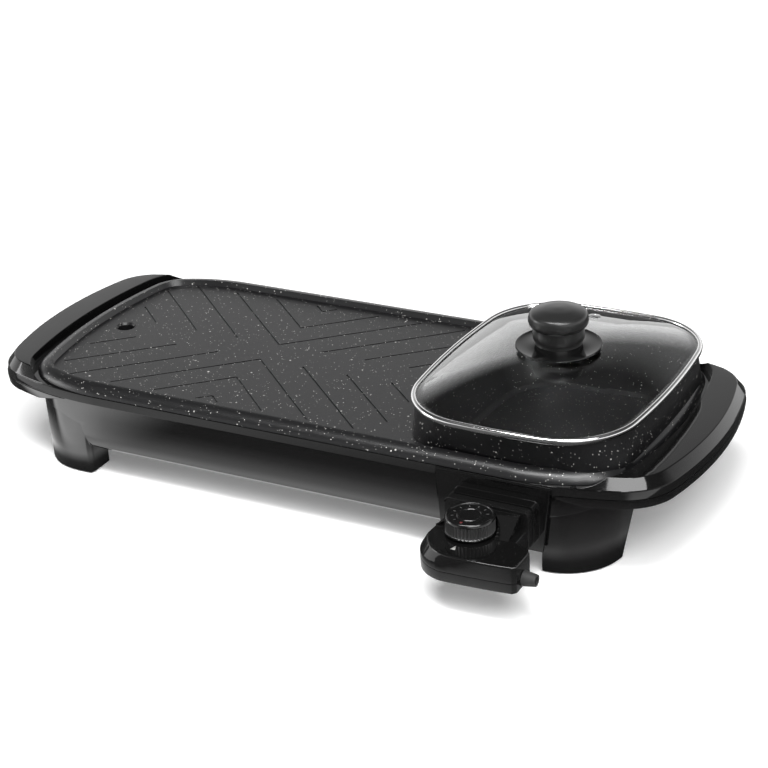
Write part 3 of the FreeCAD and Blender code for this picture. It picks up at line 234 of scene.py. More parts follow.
# %% [markdown]
# Plastics. The base, the frame and the controller are moulded in black plastic that is polished
# until it mirrors the table, while the knob and the ribs of the dial are duller to grip. They
# could share one black under different coats of lacquer. A moulding has no lacquer, so each gets
# its own roughness instead. The blacks are so dark that what shows is nearly all reflection. Ink,
# ceramic and rubber follow the same recipe: one colour, and one gloss with a grain in it.

# %% Plastics
PLASTIC_GRAIN = 500.0            # waves of the noise in a metre
PLASTIC_SPREAD = 0.08
PLASTICS = {                     # colour, roughness and strength of the relief
    "gloss_black": ((0.004, 0.004, 0.004), 0.07, 0.004),
    "satin_black": ((0.006, 0.006, 0.006), 0.20, 0.004),
    "dial_black": ((0.005, 0.005, 0.005), 0.15, 0.0),
    "grip_black": ((0.030, 0.030, 0.030), 0.30, 0.0),
    "knob_black": ((0.014, 0.014, 0.014), 0.30, 0.0),
    "print_white": ((0.27, 0.27, 0.26), 0.45, 0.004),
    "print_grey": ((0.07, 0.07, 0.07), 0.45, 0.004),
    "print_red": ((0.13, 0.012, 0.014), 0.40, 0.004),
    "heat_plastic": ((0.03, 0.025, 0.022), 0.5, 0.004),
    "ceramic": ((0.80, 0.78, 0.72), 0.35, 0.004),
    "foot_rubber": ((0.02, 0.02, 0.02), 0.7, 0.004),
}


def plastic(name, color, roughness, strength):
    """One colour all over, with the grain in its gloss."""
    material, tree, bsdf = new_material(name)
    uneven(tree, bsdf, roughness, PLASTIC_SPREAD, PLASTIC_GRAIN, strength)
    bsdf.inputs["Base Color"].default_value = (*color, 1.0)
    return material


MATERIALS = {name: plastic(name, *look) for name, look in PLASTICS.items()}
print("plastics:", ", ".join(PLASTICS))

# %% [markdown]
# Metals. The lid's rim is polished steel, the tray and the reflectors are plain sheet, and the
# heating element has a dull dark sheath. A metal has no colour of its own under its shine: its
# colour is the tint of what it mirrors. So Metallic is 1, and the grain also darkens the tint in
# places, which gives the bare metal a little life without any scratches drawn by hand.

# %% Metals
METAL_GRAIN = 400.0
METAL_SPREAD = 0.25
DARKER = 0.85                    # share of the colour left where the grain is darkest
METALS = {                       # colour, roughness and strength of the relief
    "polished_steel": ((0.82, 0.82, 0.82), 0.12, 0.0),
    "sheet_steel": ((0.62, 0.62, 0.62), 0.32, 0.03),
    "element_sheath": ((0.25, 0.23, 0.22), 0.45, 0.03),
    "contact_brass": ((0.75, 0.60, 0.32), 0.30, 0.03),
    "tray_metal": ((0.36, 0.36, 0.37), 0.42, 0.03),
    "zinc": ((0.60, 0.60, 0.57), 0.35, 0.03),
}


def color_between(tree, share, first, second):
    """first (1 - share) + second share, for each of red, green and blue."""
    mix = add_node(tree, "ShaderNodeMix", data_type="RGBA")
    mix.inputs["A"].default_value = (*first, 1.0)
    mix.inputs["B"].default_value = (*second, 1.0)
    tree.links.new(share, mix.inputs["Factor"])
    return mix.outputs["Result"]


def metal(name, color, roughness, strength):
    """Colour between DARKER times itself and itself, after the grain."""
    material, tree, bsdf = new_material(name)
    grain = uneven(tree, bsdf, roughness, METAL_SPREAD, METAL_GRAIN, strength)
    tint = color_between(tree, grain, [DARKER * c for c in color], color)
    tree.links.new(tint, bsdf.inputs["Base Color"])
    bsdf.inputs["Metallic"].default_value = 1.0
    return material


MATERIALS.update((name, metal(name, *look)) for name, look in METALS.items())
print("metals:", ", ".join(METALS))

# %% [markdown]
# Flecks. The pan's coating is black with light flecks of several sizes, thrown on at random. They
# could be thousands of tiny faces, which nobody needs. A Voronoi texture cuts space into cells
# with a point and a random colour each. The colour's red picks the few cells that hold a fleck,
# its green sizes the fleck, and the distance to the point makes it round.

# %% Fleck group


def fleck_group():
    """Mask of round flecks.

    In a cell whose red is less than Share it falls from 1 at the cell's point to 0 at a distance
    of Size times the cell's green. In all other cells it is 0.
    """
    group, given, made = new_group("flecks", ("Vector", "Scale", "Share", "Size"), ("Mask",))
    cells = add_node(group, "ShaderNodeTexVoronoi")
    group.links.new(given["Vector"], cells.inputs["Vector"])
    group.links.new(given["Scale"], cells.inputs["Scale"])
    split = add_node(group, "ShaderNodeSeparateColor")
    group.links.new(cells.outputs["Color"], split.inputs["Color"])
    reach = calc(group, "MULTIPLY", given["Size"], split.outputs["Green"])
    near = remap(group, cells.outputs["Distance"], reach, 0.0)
    chosen = calc(group, "LESS_THAN", split.outputs["Red"], given["Share"])
    group.links.new(calc(group, "MULTIPLY", near, chosen), made["Mask"])
    return group


FLECKS = fleck_group()
print("group:", FLECKS.name)

# %% [markdown]
# The coating. Three layers of flecks, fine, middling and a few coarse ones, are laid over each
# other by taking the lightest. One layer alone looks printed. A fine relief breaks the shine up,
# as the sprayed coating does on the real pan.

# %% Coating
FLECK_LAYERS = ((680.0, 0.15, 0.52), (310.0, 0.07, 0.40), (125.0, 0.06, 0.21))  # Scale, Share, Size
COATING_COLOR = (0.006, 0.006, 0.0065)
FLECK_COLOR = (0.72, 0.71, 0.68)
COATING_ROUGHNESS = 0.34
COATING_GRAIN = 900.0
COATING_RELIEF = (0.15, 0.0003)  # strength and depth


def stone(name):
    """Black where the greatest of the three masks is 0 and fleck-coloured where it is 1."""
    material, tree, bsdf = new_material(name)
    place = object_place(tree)
    masks = [use_group(tree, FLECKS, place, Scale=scale, Share=share, Size=size)["Mask"]
             for scale, share, size in FLECK_LAYERS]
    mask = calc(tree, "MAXIMUM", calc(tree, "MAXIMUM", masks[0], masks[1]), masks[2])
    tree.links.new(color_between(tree, mask, COATING_COLOR, FLECK_COLOR), bsdf.inputs["Base Color"])
    grain = use_group(tree, GRAIN, place, Scale=COATING_GRAIN, Detail=FINE_DETAIL)
    relief(tree, bsdf, grain["Grain"], *COATING_RELIEF)
    bsdf.inputs["Roughness"].default_value = COATING_ROUGHNESS
    return material


MATERIALS["stone_coating"] = stone("stone_coating")
print("coating:", len(FLECK_LAYERS), "layers of flecks")

# %% [markdown]
# Glass. The lid is clear pressed glass. Glass could be faked by a thin see-through film, which
# bends nothing. Here it transmits all light with the bend of real glass, an IOR of 1.5, and the
# pane has two sides, so the pot is seen through it as through a real lid. A very slow wave in the
# normal stands for the unevenness that pressing leaves.

# %% Glass
GLASS_COLOR = (0.97, 0.98, 0.98)
GLASS_BEND = 1.5
GLASS_WAVES = 14.0
GLASS_DETAIL = 1.0
GLASS_RELIEF = (0.04, 0.001)     # strength and depth


def glass(name):
    """Smooth and clear, with the relief of a slow noise."""
    material, tree, bsdf = new_material(name)
    wave = use_group(tree, GRAIN, object_place(tree), Scale=GLASS_WAVES, Detail=GLASS_DETAIL)
    relief(tree, bsdf, wave["Grain"], *GLASS_RELIEF)
    bsdf.inputs["Base Color"].default_value = (*GLASS_COLOR, 1.0)
    bsdf.inputs["Roughness"].default_value = 0.0
    bsdf.inputs["IOR"].default_value = GLASS_BEND
    bsdf.inputs["Transmission Weight"].default_value = 1.0
    return material


MATERIALS["clear_glass"] = glass("clear_glass")
print("finishes in all:", len(MATERIALS))

# %% [markdown]
# Dressing the CAD pieces. A CAD mesh is loose triangles with knife-sharp edges, but a moulding
# comes out of its tool with small rounds that catch the light as thin bright lines. The edges
# could be rounded in the CAD model, at the price of a far heavier one. Modifiers do it here and
# leave the mesh alone: Weld joins the triangles, Bevel rounds what turns by more than 30 degrees,
# and Edge Split with Weighted Normal keeps flat faces flat. The pan gets no round, because its
# grooves are too narrow for one.

# %% Dressing the CAD pieces
ROUNDED = {"gloss_black": 0.0006, "satin_black": 0.0005, "heat_plastic": 0.0004}   # width by finish
FINE = {"controller_upper_shell": 0.0003, "controller_lower_shell": 0.0003,        # width by piece
        "controller_flange": 0.0010, "socket_housing": 0.0010}
EDGE_ANGLE = math.radians(30.0)
WELD_REACH = 1e-5
ROUND_STEPS = 2


def dress(piece, slot):
    """Finish, weld, round and shading of one CAD piece."""
    piece.data.materials.clear()
    piece.data.materials.append(MATERIALS[slot])
    piece.data.shade_smooth()
    weld = piece.modifiers.new("weld", "WELD")
    weld.merge_threshold = WELD_REACH
    if slot in ROUNDED:
        bevel = piece.modifiers.new("round", "BEVEL")
        bevel.width = FINE.get(piece.name, ROUNDED[slot])
        bevel.segments = ROUND_STEPS
        bevel.limit_method = "ANGLE"
        bevel.angle_limit = EDGE_ANGLE
        bevel.use_clamp_overlap = False
    edges = piece.modifiers.new("edges", "EDGE_SPLIT")
    edges.split_angle = EDGE_ANGLE
    normals = piece.modifiers.new("flats", "WEIGHTED_NORMAL")
    normals.keep_sharp = True


subparts = frame["record"]["subparts"]
for part in subparts:
    dress(nodes[part["node"]], part["material_slot"])
print("dressed:", len(subparts), "pieces")

# %% [markdown]
# Measuring. The lid, its knob and the dial are round and stand at the front of the picture, so
# the flat facets of a CAD mesh would show. They are built once more as smooth surfaces. To land
# in the same place, each takes its size from the CAD piece that it stands for, by the lowest and
# the highest of that piece's corners.

# %% Measuring
MM = 1000.0                      # millimetres in a metre, for what is printed


def corners_of(piece, kind="co"):
    """A row of x, y and z for each corner of a mesh: its place, or its normal."""
    flat = np.empty(3 * len(piece.data.vertices), np.float32)
    piece.data.vertices.foreach_get(kind, flat)
    return flat.reshape(-1, 3).astype(float)


def span(node):
    """Lowest and highest corner of a CAD piece: the least and the greatest x, y and z."""
    corners = corners_of(nodes[node])
    return corners.min(axis=0), corners.max(axis=0)


for node in ("lid_rim", "lid_knob", "dial"):
    low, high = span(node)
    print(node, "is", np.round(MM * (high - low), 1), "mm")

# %% [markdown]
# From points to a piece. A surface is a grid of points: rows along its profile, columns round it.
# Blender could spin or extrude a profile, but a grid worked out with numpy is one formula, and its
# every point is known before there is a mesh. The pieces here are closed the long way round, so
# each row's last point joins its first. Where a profile ends on the axis its row shrinks to a
# point, which merging closes. The normals are then recalculated to point outwards.

# %% From points to a piece
SAME_POINT = 1e-6


def add_piece(name, points, faces, material, body, replaced=(), slot=None):
    """Smooth-shaded piece from rows of points and of corner numbers, riding on a body."""
    mesh = bpy.data.meshes.new(name)
    mesh.from_pydata(points.tolist(), [], faces.tolist())
    mesh.materials.append(MATERIALS[material])
    shell = bmesh.new()
    shell.from_mesh(mesh)
    bmesh.ops.remove_doubles(shell, verts=shell.verts, dist=SAME_POINT)
    bmesh.ops.recalc_face_normals(shell, faces=shell.faces)
    shell.to_mesh(mesh)
    shell.free()
    mesh.shade_smooth()
    piece = bpy.data.objects.new(name, mesh)
    bpy.context.scene.collection.objects.link(piece)
    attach(piece, body)
    if replaced:
        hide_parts(*replaced)
    print(name + ":", len(mesh.polygons), "faces, rides on", body)
    return piece


def add_grid(name, grid, material, body, **kind):
    """Piece over a grid of points whose rows are closed.

    With point k of row r numbered r times the row's length plus k, each quad joins points k and
    k + 1 of a row to the same points of the next row, and k + 1 starts again at 0 after the last.
    """
    rows, count = grid.shape[:2]
    k = np.arange(count)
    after = (k + 1) % count
    first = np.column_stack([k, after, after + count, k + count])
    faces = first + count * np.arange(rows - 1)[:, None, None]
    return add_piece(name, grid.reshape(-1, 3), faces.reshape(-1, 4), material, body, **kind)


# %% [markdown]
# The lid's outline. Seen from above, the lid is a rectangle with bulging sides and wide corners. A
# superellipse comes near it, but its corners can't be set apart from its sides. So the outline is
# drawn as with a compass: flat arcs at the ends and the sides, joined by a tight arc at each
# corner. Two arcs meet without a kink when the distance of their middles is the difference of
# their radii, and that places the corner's middle.

# %% Compass work


def arc(middle, radius, start, stop, steps):
    """Points middle + radius (cos a, sin a), for a from start to just before stop."""
    a = np.linspace(start, stop, steps, endpoint=False)
    return middle + radius * np.column_stack([np.cos(a), np.sin(a)])


def corner_middle(end_mid, side_mid, end_gap, side_gap):
    """The point end_gap from the end's middle and side_gap from the side's, on the right.

    With the two middles d apart, its foot on the line between them lies
    (end_gap² - side_gap² + d²) / 2d from the first, and it stands √(end_gap² - foot²) off the line.
    """
    between = side_mid - end_mid
    d = np.linalg.norm(between)
    foot = (end_gap ** 2 - side_gap ** 2 + d ** 2) / (2 * d)
    unit = between / d
    off = np.array([unit[1], -unit[0]]) * math.sqrt(end_gap ** 2 - foot ** 2)
    return max(end_mid + unit * foot + off, end_mid + unit * foot - off, key=lambda p: p[0])


def bearing(middle, point):
    """Angle at which a point is seen from a middle."""
    return math.atan2(point[1] - middle[1], point[0] - middle[0])


# %% Outline of the lid
rim_low, rim_high = span("lid_rim")
lid_mid = (rim_low + rim_high) / 2
LID_HALF = (rim_high - rim_low)[:2] / 2
LID_RADII = np.array([0.675, 0.066, 0.700])      # side, corner and end of the outline
LID_STEPS = 16                                   # points to an arc


def lid_outline(inset, steps):
    """Closed outline of the lid about its own middle, drawn in by inset, steps to an arc.

    One quarter is an end, a corner and a side arc. Its mirror images make the other three.
    """
    hx, hy = LID_HALF - inset
    side_r, corner_r, end_r = LID_RADII - inset
    end_mid, side_mid = np.array([hx - end_r, 0.0]), np.array([0.0, hy - side_r])
    corner_mid = corner_middle(end_mid, side_mid, end_r - corner_r, side_r - corner_r)
    end_turn, side_turn = bearing(end_mid, corner_mid), bearing(side_mid, corner_mid)
    quarter = np.vstack([arc(end_mid, end_r, 0.0, end_turn, steps),
                         arc(corner_mid, corner_r, end_turn, side_turn, steps),
                         arc(side_mid, side_r, side_turn, math.pi / 2, steps)])
    half = np.vstack([quarter, [[0.0, hy]], quarter[:0:-1] * (-1, 1)])
    return np.vstack([half, [[-hx, 0.0]], half[:0:-1] * (1, -1)])


def lid_grid(insets, heights, shares, steps):
    """Rows of points: share times the outline drawn in by inset, about the lid's middle, at a height."""
    flat = np.stack([lid_outline(inset, steps) * share for inset, share in zip(insets, shares)])
    level = np.broadcast_to(np.reshape(heights, (-1, 1, 1)), (*flat.shape[:2], 1))
    return np.concatenate([flat + lid_mid[:2], level], axis=-1)


print("lid:", np.round(2 * MM * LID_HALF, 1), "mm,", len(lid_outline(0.0, LID_STEPS)), "points round it")

# %% [markdown]
# The pane. The real one is a shallow dome of glass with a hole for the knob's screw, and with a
# flat edge that sits in the rim. One sheet with a Solidify modifier would have parallel sides. Both
# sides are worked out instead, because the dome starts further in below than on top. A row of it
# at share s of the outline stands rise (1 - s²) high, which makes it level at the middle.

# %% Pane
CREASE = 50.0                    # degrees: edges of the lid's parts that stay crisp
PANE_THICK = 0.0032
PANE_EDGE = 0.0012               # inset of the edge that the rim hides
DOME_TOP = 0.0048                # inset of the dome's foot, on top
DOME_UNDER = 0.0081              # and below
HOLE_SHARE = 0.03                # the dome stops at the hole
DOME_ROWS = 42


def keep_edges(piece, degrees):
    """Keeps edges crisp that turn by more than an angle."""
    edges = piece.modifiers.new("edges", "EDGE_SPLIT")
    edges.split_angle = math.radians(degrees)


def add_glass():
    """Domed pane: its top from the hole outwards, its edge, and its underside back to the hole.

    The dome is rise (1 - s²) above its foot in the row at share s of the outline.
    """
    low, high = span("lid_glass")
    foot, top_foot = low[2], low[2] + PANE_THICK
    rise = high[2] - low[2] - PANE_THICK
    shares = np.linspace(HOLE_SHARE, 1.0, DOME_ROWS)
    dome = rise * (1 - shares * shares)
    insets = [DOME_TOP] * DOME_ROWS + [PANE_EDGE] * 2 + [DOME_UNDER] * DOME_ROWS + [DOME_TOP]
    heights = [*(top_foot + dome), top_foot, foot, *(foot + dome[::-1]), top_foot + dome[0]]
    scales = [*shares, 1.0, 1.0, *shares[::-1], HOLE_SHARE]
    piece = add_grid("glass_pane", lid_grid(insets, heights, scales, LID_STEPS), "clear_glass", "lid",
                     replaced=["lid_glass"], slot="clear_glass")
    keep_edges(piece, CREASE)
    return piece


pane = add_glass()

# %% [markdown]
# Turned pieces. The vent, the knob, its plate and the dial are round about an upright axis, as if
# they came off a lathe. Blender's Screw modifier turns a profile too, but the dial needs a radius
# that changes with the angle. A formula takes both: a profile of (radius, height) corners is the
# one direction of the grid, the angle is the other, and a cut may be taken off the radius.

# %% Lathe
TURNS = 144                      # points round a turned piece


def raised(profile, height):
    """Profile of (radius, height) corners, with the height added to each."""
    return np.array(profile) + (0.0, height)


def angles(turns):
    """Angles round a circle: k times 2π / turns, for k from 0 to turns - 1."""
    return np.linspace(0.0, 2 * math.pi, turns, endpoint=False)


def revolve(profile, centre, turns=TURNS, cut=0.0):
    """Grid of a surface of revolution: (r - cut) cos a, (r - cut) sin a and z about the centre.

    r and z are a profile corner's radius and height, and a goes round the circle.
    """
    radius, height = profile[:, :1], profile[:, 1:]
    reach = radius - cut
    x = centre[0] + reach * np.cos(angles(turns))
    y = centre[1] + reach * np.sin(angles(turns))
    return np.stack([x, y, np.broadcast_to(height, x.shape)], axis=-1)


# %% [markdown]
# The steam vent. A small steel eyelet is pressed through the pane. Standing upright it would sink
# into the sloping glass on one side, so it is turned square to the glass, as it is pressed in the
# factory. The nearest corner of the pane gives the slope, and a turning matrix tilts all points of
# the eyelet at once.

# %% Steam vent
EYELET_TURNS = 64
EYELET = [(0.0021, -0.0052), (0.0021, 0.0006), (0.0023, 0.0010), (0.0028, 0.0012), (0.0044, 0.0010),
          (0.0050, 0.0006), (0.0050, 0.0002), (0.0046, -0.0001), (0.0029, -0.0001), (0.0029, -0.0036),
          (0.0040, -0.0040), (0.0043, -0.0045), (0.0040, -0.0050), (0.0029, -0.0053), (0.0021, -0.0052)]
TOP_SIDE = 0.5                   # a normal that points up by more than this is on the pane's top


def glass_seat(middle):
    """Place and normal of the corner on the pane's top that lies nearest to a middle from above."""
    places, normals = corners_of(pane), corners_of(pane, "normal")
    away = np.hypot(*(places - middle)[:, :2].T)
    nearest = np.argmin(np.where(normals[:, 2] > TOP_SIDE, away, np.inf))
    return places[nearest], normals[nearest]


def add_eyelet():
    """Turned ring, tilted: a point p goes to middle + M (p - middle), where M turns z to the normal."""
    low, high = span("vent_eyelet")
    middle = (low + high) / 2
    place, normal = glass_seat(middle)
    middle[2] = place[2]
    upright = revolve(raised(EYELET, middle[2]), middle, EYELET_TURNS)
    turn = np.array(Vector((0, 0, 1)).rotation_difference(Vector(normal)).to_matrix())
    piece = add_grid("eyelet", middle + (upright - middle) @ turn.T, "sheet_steel", "lid",
                     replaced=["vent_eyelet"], slot="polished_steel")
    keep_edges(piece, CREASE)


add_eyelet()

# %% [markdown]
# The rim. A steel band is rolled round the pane's edge, and its bright double line is what the eye
# sees first. A curve along the outline with a bevel would give an even tube, but the band is
# taller than it is wide, rounder outside than inside, and flat below. So its section is carried
# round the outline, with many points to a corner, because mirrored lines show every facet.

# %% Rim
RIM_WIDTH = 0.0045
RIM_STEPS = 48
SECTION_STEPS = 5
RIM_TOP = [(RIM_WIDTH, -0.0016), (RIM_WIDTH - 0.0006, -0.0004), (0.0028, 0.0), (0.0014, -0.0003),
           (0.0003, -0.0014), (0.0, -0.0029)]    # inset from the outline, height against the top
RIM_FOOT = [(0.0004, 0.0009), (0.0013, 0.0), (0.0032, 0.0), (RIM_WIDTH, 0.0003)]


def eased(points, steps):
    """Smooth curve through the given points, steps to a stretch.

    Between b and c, with a before them and d after, it is half of
    2b + (c - a) t + (2a - 5b + 4c - d) t² + (3b - a - 3c + d) t³, for t from 0 to 1.
    """
    p = np.array([points[0], *points, points[-1]], float)
    a, b, c, d = (p[k:len(p) - 3 + k, None] for k in range(4))
    t = np.linspace(0.0, 1.0, steps, endpoint=False)[:, None]
    runs = 0.5 * (2 * b + (c - a) * t + (2 * a - 5 * b + 4 * c - d) * t ** 2
                  + (3 * b - a - 3 * c + d) * t ** 3)
    return np.vstack([runs.reshape(-1, 2), p[-1:]])


def add_rim():
    """Band whose eased section of (inset, height) points stays within the CAD rim's size."""
    z0, z1 = rim_low[2], rim_high[2]
    section = eased(np.vstack([raised(RIM_TOP, z1), raised(RIM_FOOT, z0)]), SECTION_STEPS)
    section = np.vstack([section, section[:1]])
    insets, heights = section[:, 0].clip(0.0), section[:, 1].clip(z0, z1)
    piece = add_grid("rolled_rim", lid_grid(insets, heights, np.ones(len(section)), RIM_STEPS),
                     "polished_steel", "lid", replaced=["lid_rim"], slot="polished_steel")
    keep_edges(piece, CREASE)


add_rim()

# %% [markdown]
# The knob. It is a turned shape like a mushroom: a foot, a waist and a rounded cap. A lathe is the
# plain way to make it, with straight lines for the foot and an eased curve for the cap. The hole
# for its screw is closed at the end, so the surface has no opening that light could leak through.

# %% Knob
TURNED_CREASE = 40.0             # degrees
CLEAR = 0.0002                   # room left round a pin or a screw in its hole
SCREW_HOLE = 0.0026
CAP_STEPS = 6
KNOB_FOOT = [(SCREW_HOLE, 0.0), (0.0202, 0.0), (0.0202, 0.0034), (0.0206, 0.0038), (0.0216, 0.0042),
             (0.0218, 0.0048), (0.0218, 0.0095), (0.0218, 0.0142)]                 # above the foot
CAP_UNDER = [(0.0219, 0.0148), (0.0226, 0.0160), (0.0246, 0.0172), (0.0254, 0.0192)]
CAP_TOP = [(0.0256, -0.0098), (0.0250, -0.0062), (0.0236, -0.0041), (0.0205, -0.0027),
           (0.0130, -0.0009), (0.0050, -0.0002), (0.0, 0.0)]                       # against the top

knob_low, knob_high = span("lid_knob")
knob_mid = (knob_low + knob_high) / 2


def add_knob():
    """Lathe of the hole, the foot and waist, and the eased cap."""
    z0, z1 = knob_low[2], knob_high[2]
    hole_end = span("knob_screw")[1][2] + CLEAR
    hole = [(0.0, hole_end), (SCREW_HOLE, hole_end)]
    cap = eased(np.vstack([raised(CAP_UNDER, z0), raised(CAP_TOP, z1)]), CAP_STEPS)
    profile = np.vstack([hole, raised(KNOB_FOOT, z0), cap])
    piece = add_grid("knob", revolve(profile, knob_mid), "knob_black", "lid",
                     replaced=["lid_knob"], slot="satin_black")
    keep_edges(piece, TURNED_CREASE)


add_knob()

# %% [markdown]
# The plate under the knob keeps hot steam off the hand. It is a thin ring with a rolled edge and a
# low cone towards the knob. The profile ends where it began, at the hole, so the ring is closed.

# %% Plate under the knob
PLATE_EDGE = [(SCREW_HOLE, 0.0), (0.0360, 0.0), (0.0367, 0.0003), (0.0370, 0.0009), (0.0368, 0.0015),
              (0.0361, 0.0017), (0.0352, 0.0014)]                                  # above the foot
PLATE_TOP = [(0.0230, -0.0006), (0.0204, -0.0002), (0.0196, 0.0), (SCREW_HOLE, 0.0)]


def add_knob_plate():
    """Lathe of the edge, the cone and the hole."""
    low, high = span("knob_flange")
    z0, z1 = low[2], high[2]
    profile = np.vstack([raised(PLATE_EDGE, z0), raised(PLATE_TOP, z1), [(SCREW_HOLE, z0)]])
    piece = add_grid("knob_plate", revolve(profile, knob_mid), "gloss_black", "lid",
                     replaced=["knob_flange"], slot="satin_black")
    keep_edges(piece, TURNED_CREASE)


add_knob_plate()

# %% [markdown]
# The dial. The controller's round dial has fine ribs for the fingers, a bead at its rim and a
# ring round the middle of its face. Forty-two ribs could be one rib in an Array modifier. Cut into
# the lathe's radius they need no second object: a cosine that swings once per rib, raised to a
# power below one, gives narrow ribs with broad grooves between them.

# %% Dial
DIAL_RIBS = 42
POINTS_TO_A_RIB = 8
RIB_DEPTH = 0.0012
RIB_POWER = 0.6
RIB_FROM, RIB_TO = 0.0018, 0.0032            # above the foot, and below the top
RIB_BAND = 0.003                             # how far the ribs' duller finish reaches inwards
SHAFT_HOLE = 0.0031
DIAL_SIDE = [(0.0006, 0.0), (0.0, 0.0005), (0.0, 0.0012), (0.0004, 0.0016), (0.0004, 0.0020)]
DIAL_BEAD = [(0.0004, -0.0034), (0.0004, -0.0030), (0.0, -0.0026), (0.0003, -0.0017),
             (0.0007, -0.0010), (0.0013, -0.0003), (0.0019, 0.0), (0.0024, -0.0001),
             (0.0028, -0.0005), (0.0029, -0.0010)]   # both lists: inset from the radius, height
DIAL_FACE = [(0.0108, -0.0010), (0.0104, -0.0006), (0.0100, -0.0004), (0.0093, -0.0004),
             (0.0089, -0.0006), (0.0085, -0.0010), (0.0, -0.0010)]                 # radius, height
FACE_DROP = 0.0010                           # the face lies this far below the top

dial_low, dial_high = span("dial")
dial_mid = (dial_low + dial_high) / 2
dial_radius = (dial_high[0] - dial_low[0]) / 2
print("dial:", round(MM * dial_radius, 1), "mm in radius")


def dial_profile(z0, z1):
    """Hole for the shaft, side with its bead, and face, as corners of (radius, height)."""
    hole_end = span("dial_shaft")[1][2] + CLEAR
    hole = [(0.0, hole_end), (SHAFT_HOLE, hole_end), (SHAFT_HOLE, z0)]
    side = np.vstack([raised(DIAL_SIDE, z0), raised(DIAL_BEAD, z1)])
    side[:, 0] = dial_radius - side[:, 0]
    return np.vstack([hole, side, raised(DIAL_FACE, z1)])


def rib_cut(profile, turns, low, high):
    """Depth taken off the radius: RIB_DEPTH times (half of 1 - cos of ribs times angle) ^ RIB_POWER.

    It acts between the two heights, and outside half of the dial's radius, so the hole stays round.
    """
    radius, height = profile[:, :1], profile[:, 1:]
    wave = 0.5 - 0.5 * np.cos(DIAL_RIBS * angles(turns))
    ribbed = (low < height) & (height < high) & (radius > dial_radius / 2)
    return np.where(ribbed, RIB_DEPTH * wave ** RIB_POWER, 0.0)


# %% Dial piece


def add_dial():
    """Lathe with ribs, whose ribbed band gets a duller second finish."""
    z0, z1 = dial_low[2], dial_high[2]
    low, high = z0 + RIB_FROM, z1 - RIB_TO
    turns = DIAL_RIBS * POINTS_TO_A_RIB
    profile = dial_profile(z0, z1)
    grid = revolve(profile, dial_mid, turns, rib_cut(profile, turns, low, high))
    piece = add_grid("dial_cap", grid, "dial_black", "dial", replaced=["dial"], slot="gloss_black")
    piece.data.materials.append(MATERIALS["grip_black"])
    centres = np.empty(3 * len(piece.data.polygons), np.float32)
    piece.data.polygons.foreach_get("center", centres)
    x, y, z = centres.reshape(-1, 3).T
    out = np.hypot(x - dial_mid[0], y - dial_mid[1])
    band = (low < z) & (z < high) & (out > dial_radius - RIB_BAND)
    piece.data.polygons.foreach_set("material_index", band.astype(np.int32))
    keep_edges(piece, TURNED_CREASE)
    print("ribbed faces:", int(band.sum()))


add_dial()

# %% [markdown]
# Printed marks. The dial has short lines round its face, which grow wider as the heat rises, and
# one red bar where it is switched off. A texture could hold them, but a printed line is a thin
# layer of ink with its own finish. So each is a flat bar of four corners that lies a hair above
# the face, and Solidify gives it the thickness of the ink.

# %% Marks on the dial
MARKS = 9
MARK_FROM = math.radians(266.0)  # the red bar, turned from the x axis
MARK_STEP = math.radians(-30.0)
MARK_NEAR, MARK_FAR = 0.0130, 0.0152
OFF_WIDTH = 0.0020
LINE_WIDTH, LINE_GROWTH = 0.0004, 0.00008
PRINT_LIFT = 0.00004             # ink surface above the plastic
INK = 0.00003


def bars(middle, angle, width):
    """Corners of bars that point away from a middle.

    Each is middle + out times MARK_NEAR or MARK_FAR, plus or minus half the width across, where
    out is (cos a, sin a) and across is out turned by a right angle.
    """
    out = np.column_stack([np.cos(angle), np.sin(angle)])
    across = np.column_stack([-out[:, 1], out[:, 0]]) * width[:, None] / 2
    near, far = middle + out * MARK_NEAR, middle + out * MARK_FAR
    return np.stack([near - across, far - across, far + across, near + across], axis=1)


def add_print(name, flat, height, corners, material, body):
    """Flat shapes of ink, with so many corners each, at a height."""
    points = np.column_stack([flat, np.full(len(flat), height)])
    piece = add_piece(name, points, np.arange(len(flat)).reshape(-1, corners), material, body)
    ink = piece.modifiers.new("ink", "SOLIDIFY")
    ink.thickness = INK
    ink.offset = -1.0


def add_marks():
    """Bar k stands at MARK_FROM + k MARK_STEP. The first is red, the others widen with k."""
    k = np.arange(MARKS)
    width = np.where(k == 0, OFF_WIDTH, LINE_WIDTH + LINE_GROWTH * k)
    flat = bars(dial_mid[:2], MARK_FROM + k * MARK_STEP, width)
    height = dial_high[2] - FACE_DROP + PRINT_LIFT
    add_print("dial_marks", flat[1:].reshape(-1, 2), height, 4, "print_grey", "dial")
    add_print("off_mark", flat[0], height, 4, "print_red", "dial")


add_marks()

# %% [markdown]
# The pointer. A small white triangle on the controller's top shows which mark of the dial counts.
# It rides on the controller and not on the dial, so it stays where it is when the dial turns.

# %% Pointer
DIAL_GAP = 0.0016                # between the controller's top and the dial
TIP_OUT = 0.0238                 # from the dial's middle to the triangle's tip
TRIANGLE = [(-0.0031, -0.0070), (0.0012, -0.0068), (-0.0010, 0.0)]

tip = dial_mid[:2] - (0.0, TIP_OUT)
top_height = dial_low[2] - DIAL_GAP
add_print("pointer", tip + np.array(TRIANGLE), top_height + PRINT_LIFT, 3, "print_white", "controller")

# %% [markdown]
# What each ray sees. The studio behind a product picture is not one room: the backdrop is pure
# white, yet black glossy plastic shows dark shapes with soft bright edges, which come from cards
# around it. Real cards could be modelled, but they would stand in the picture when it is taken
# from elsewhere. The Light Path node tells which kind of ray asks, so the table and the room
# answer one way when they are looked at and another way when they are mirrored.

# %% Helpers for light
NO_BOUNCE = 0.5                  # a depth is a whole number, so less than this is none


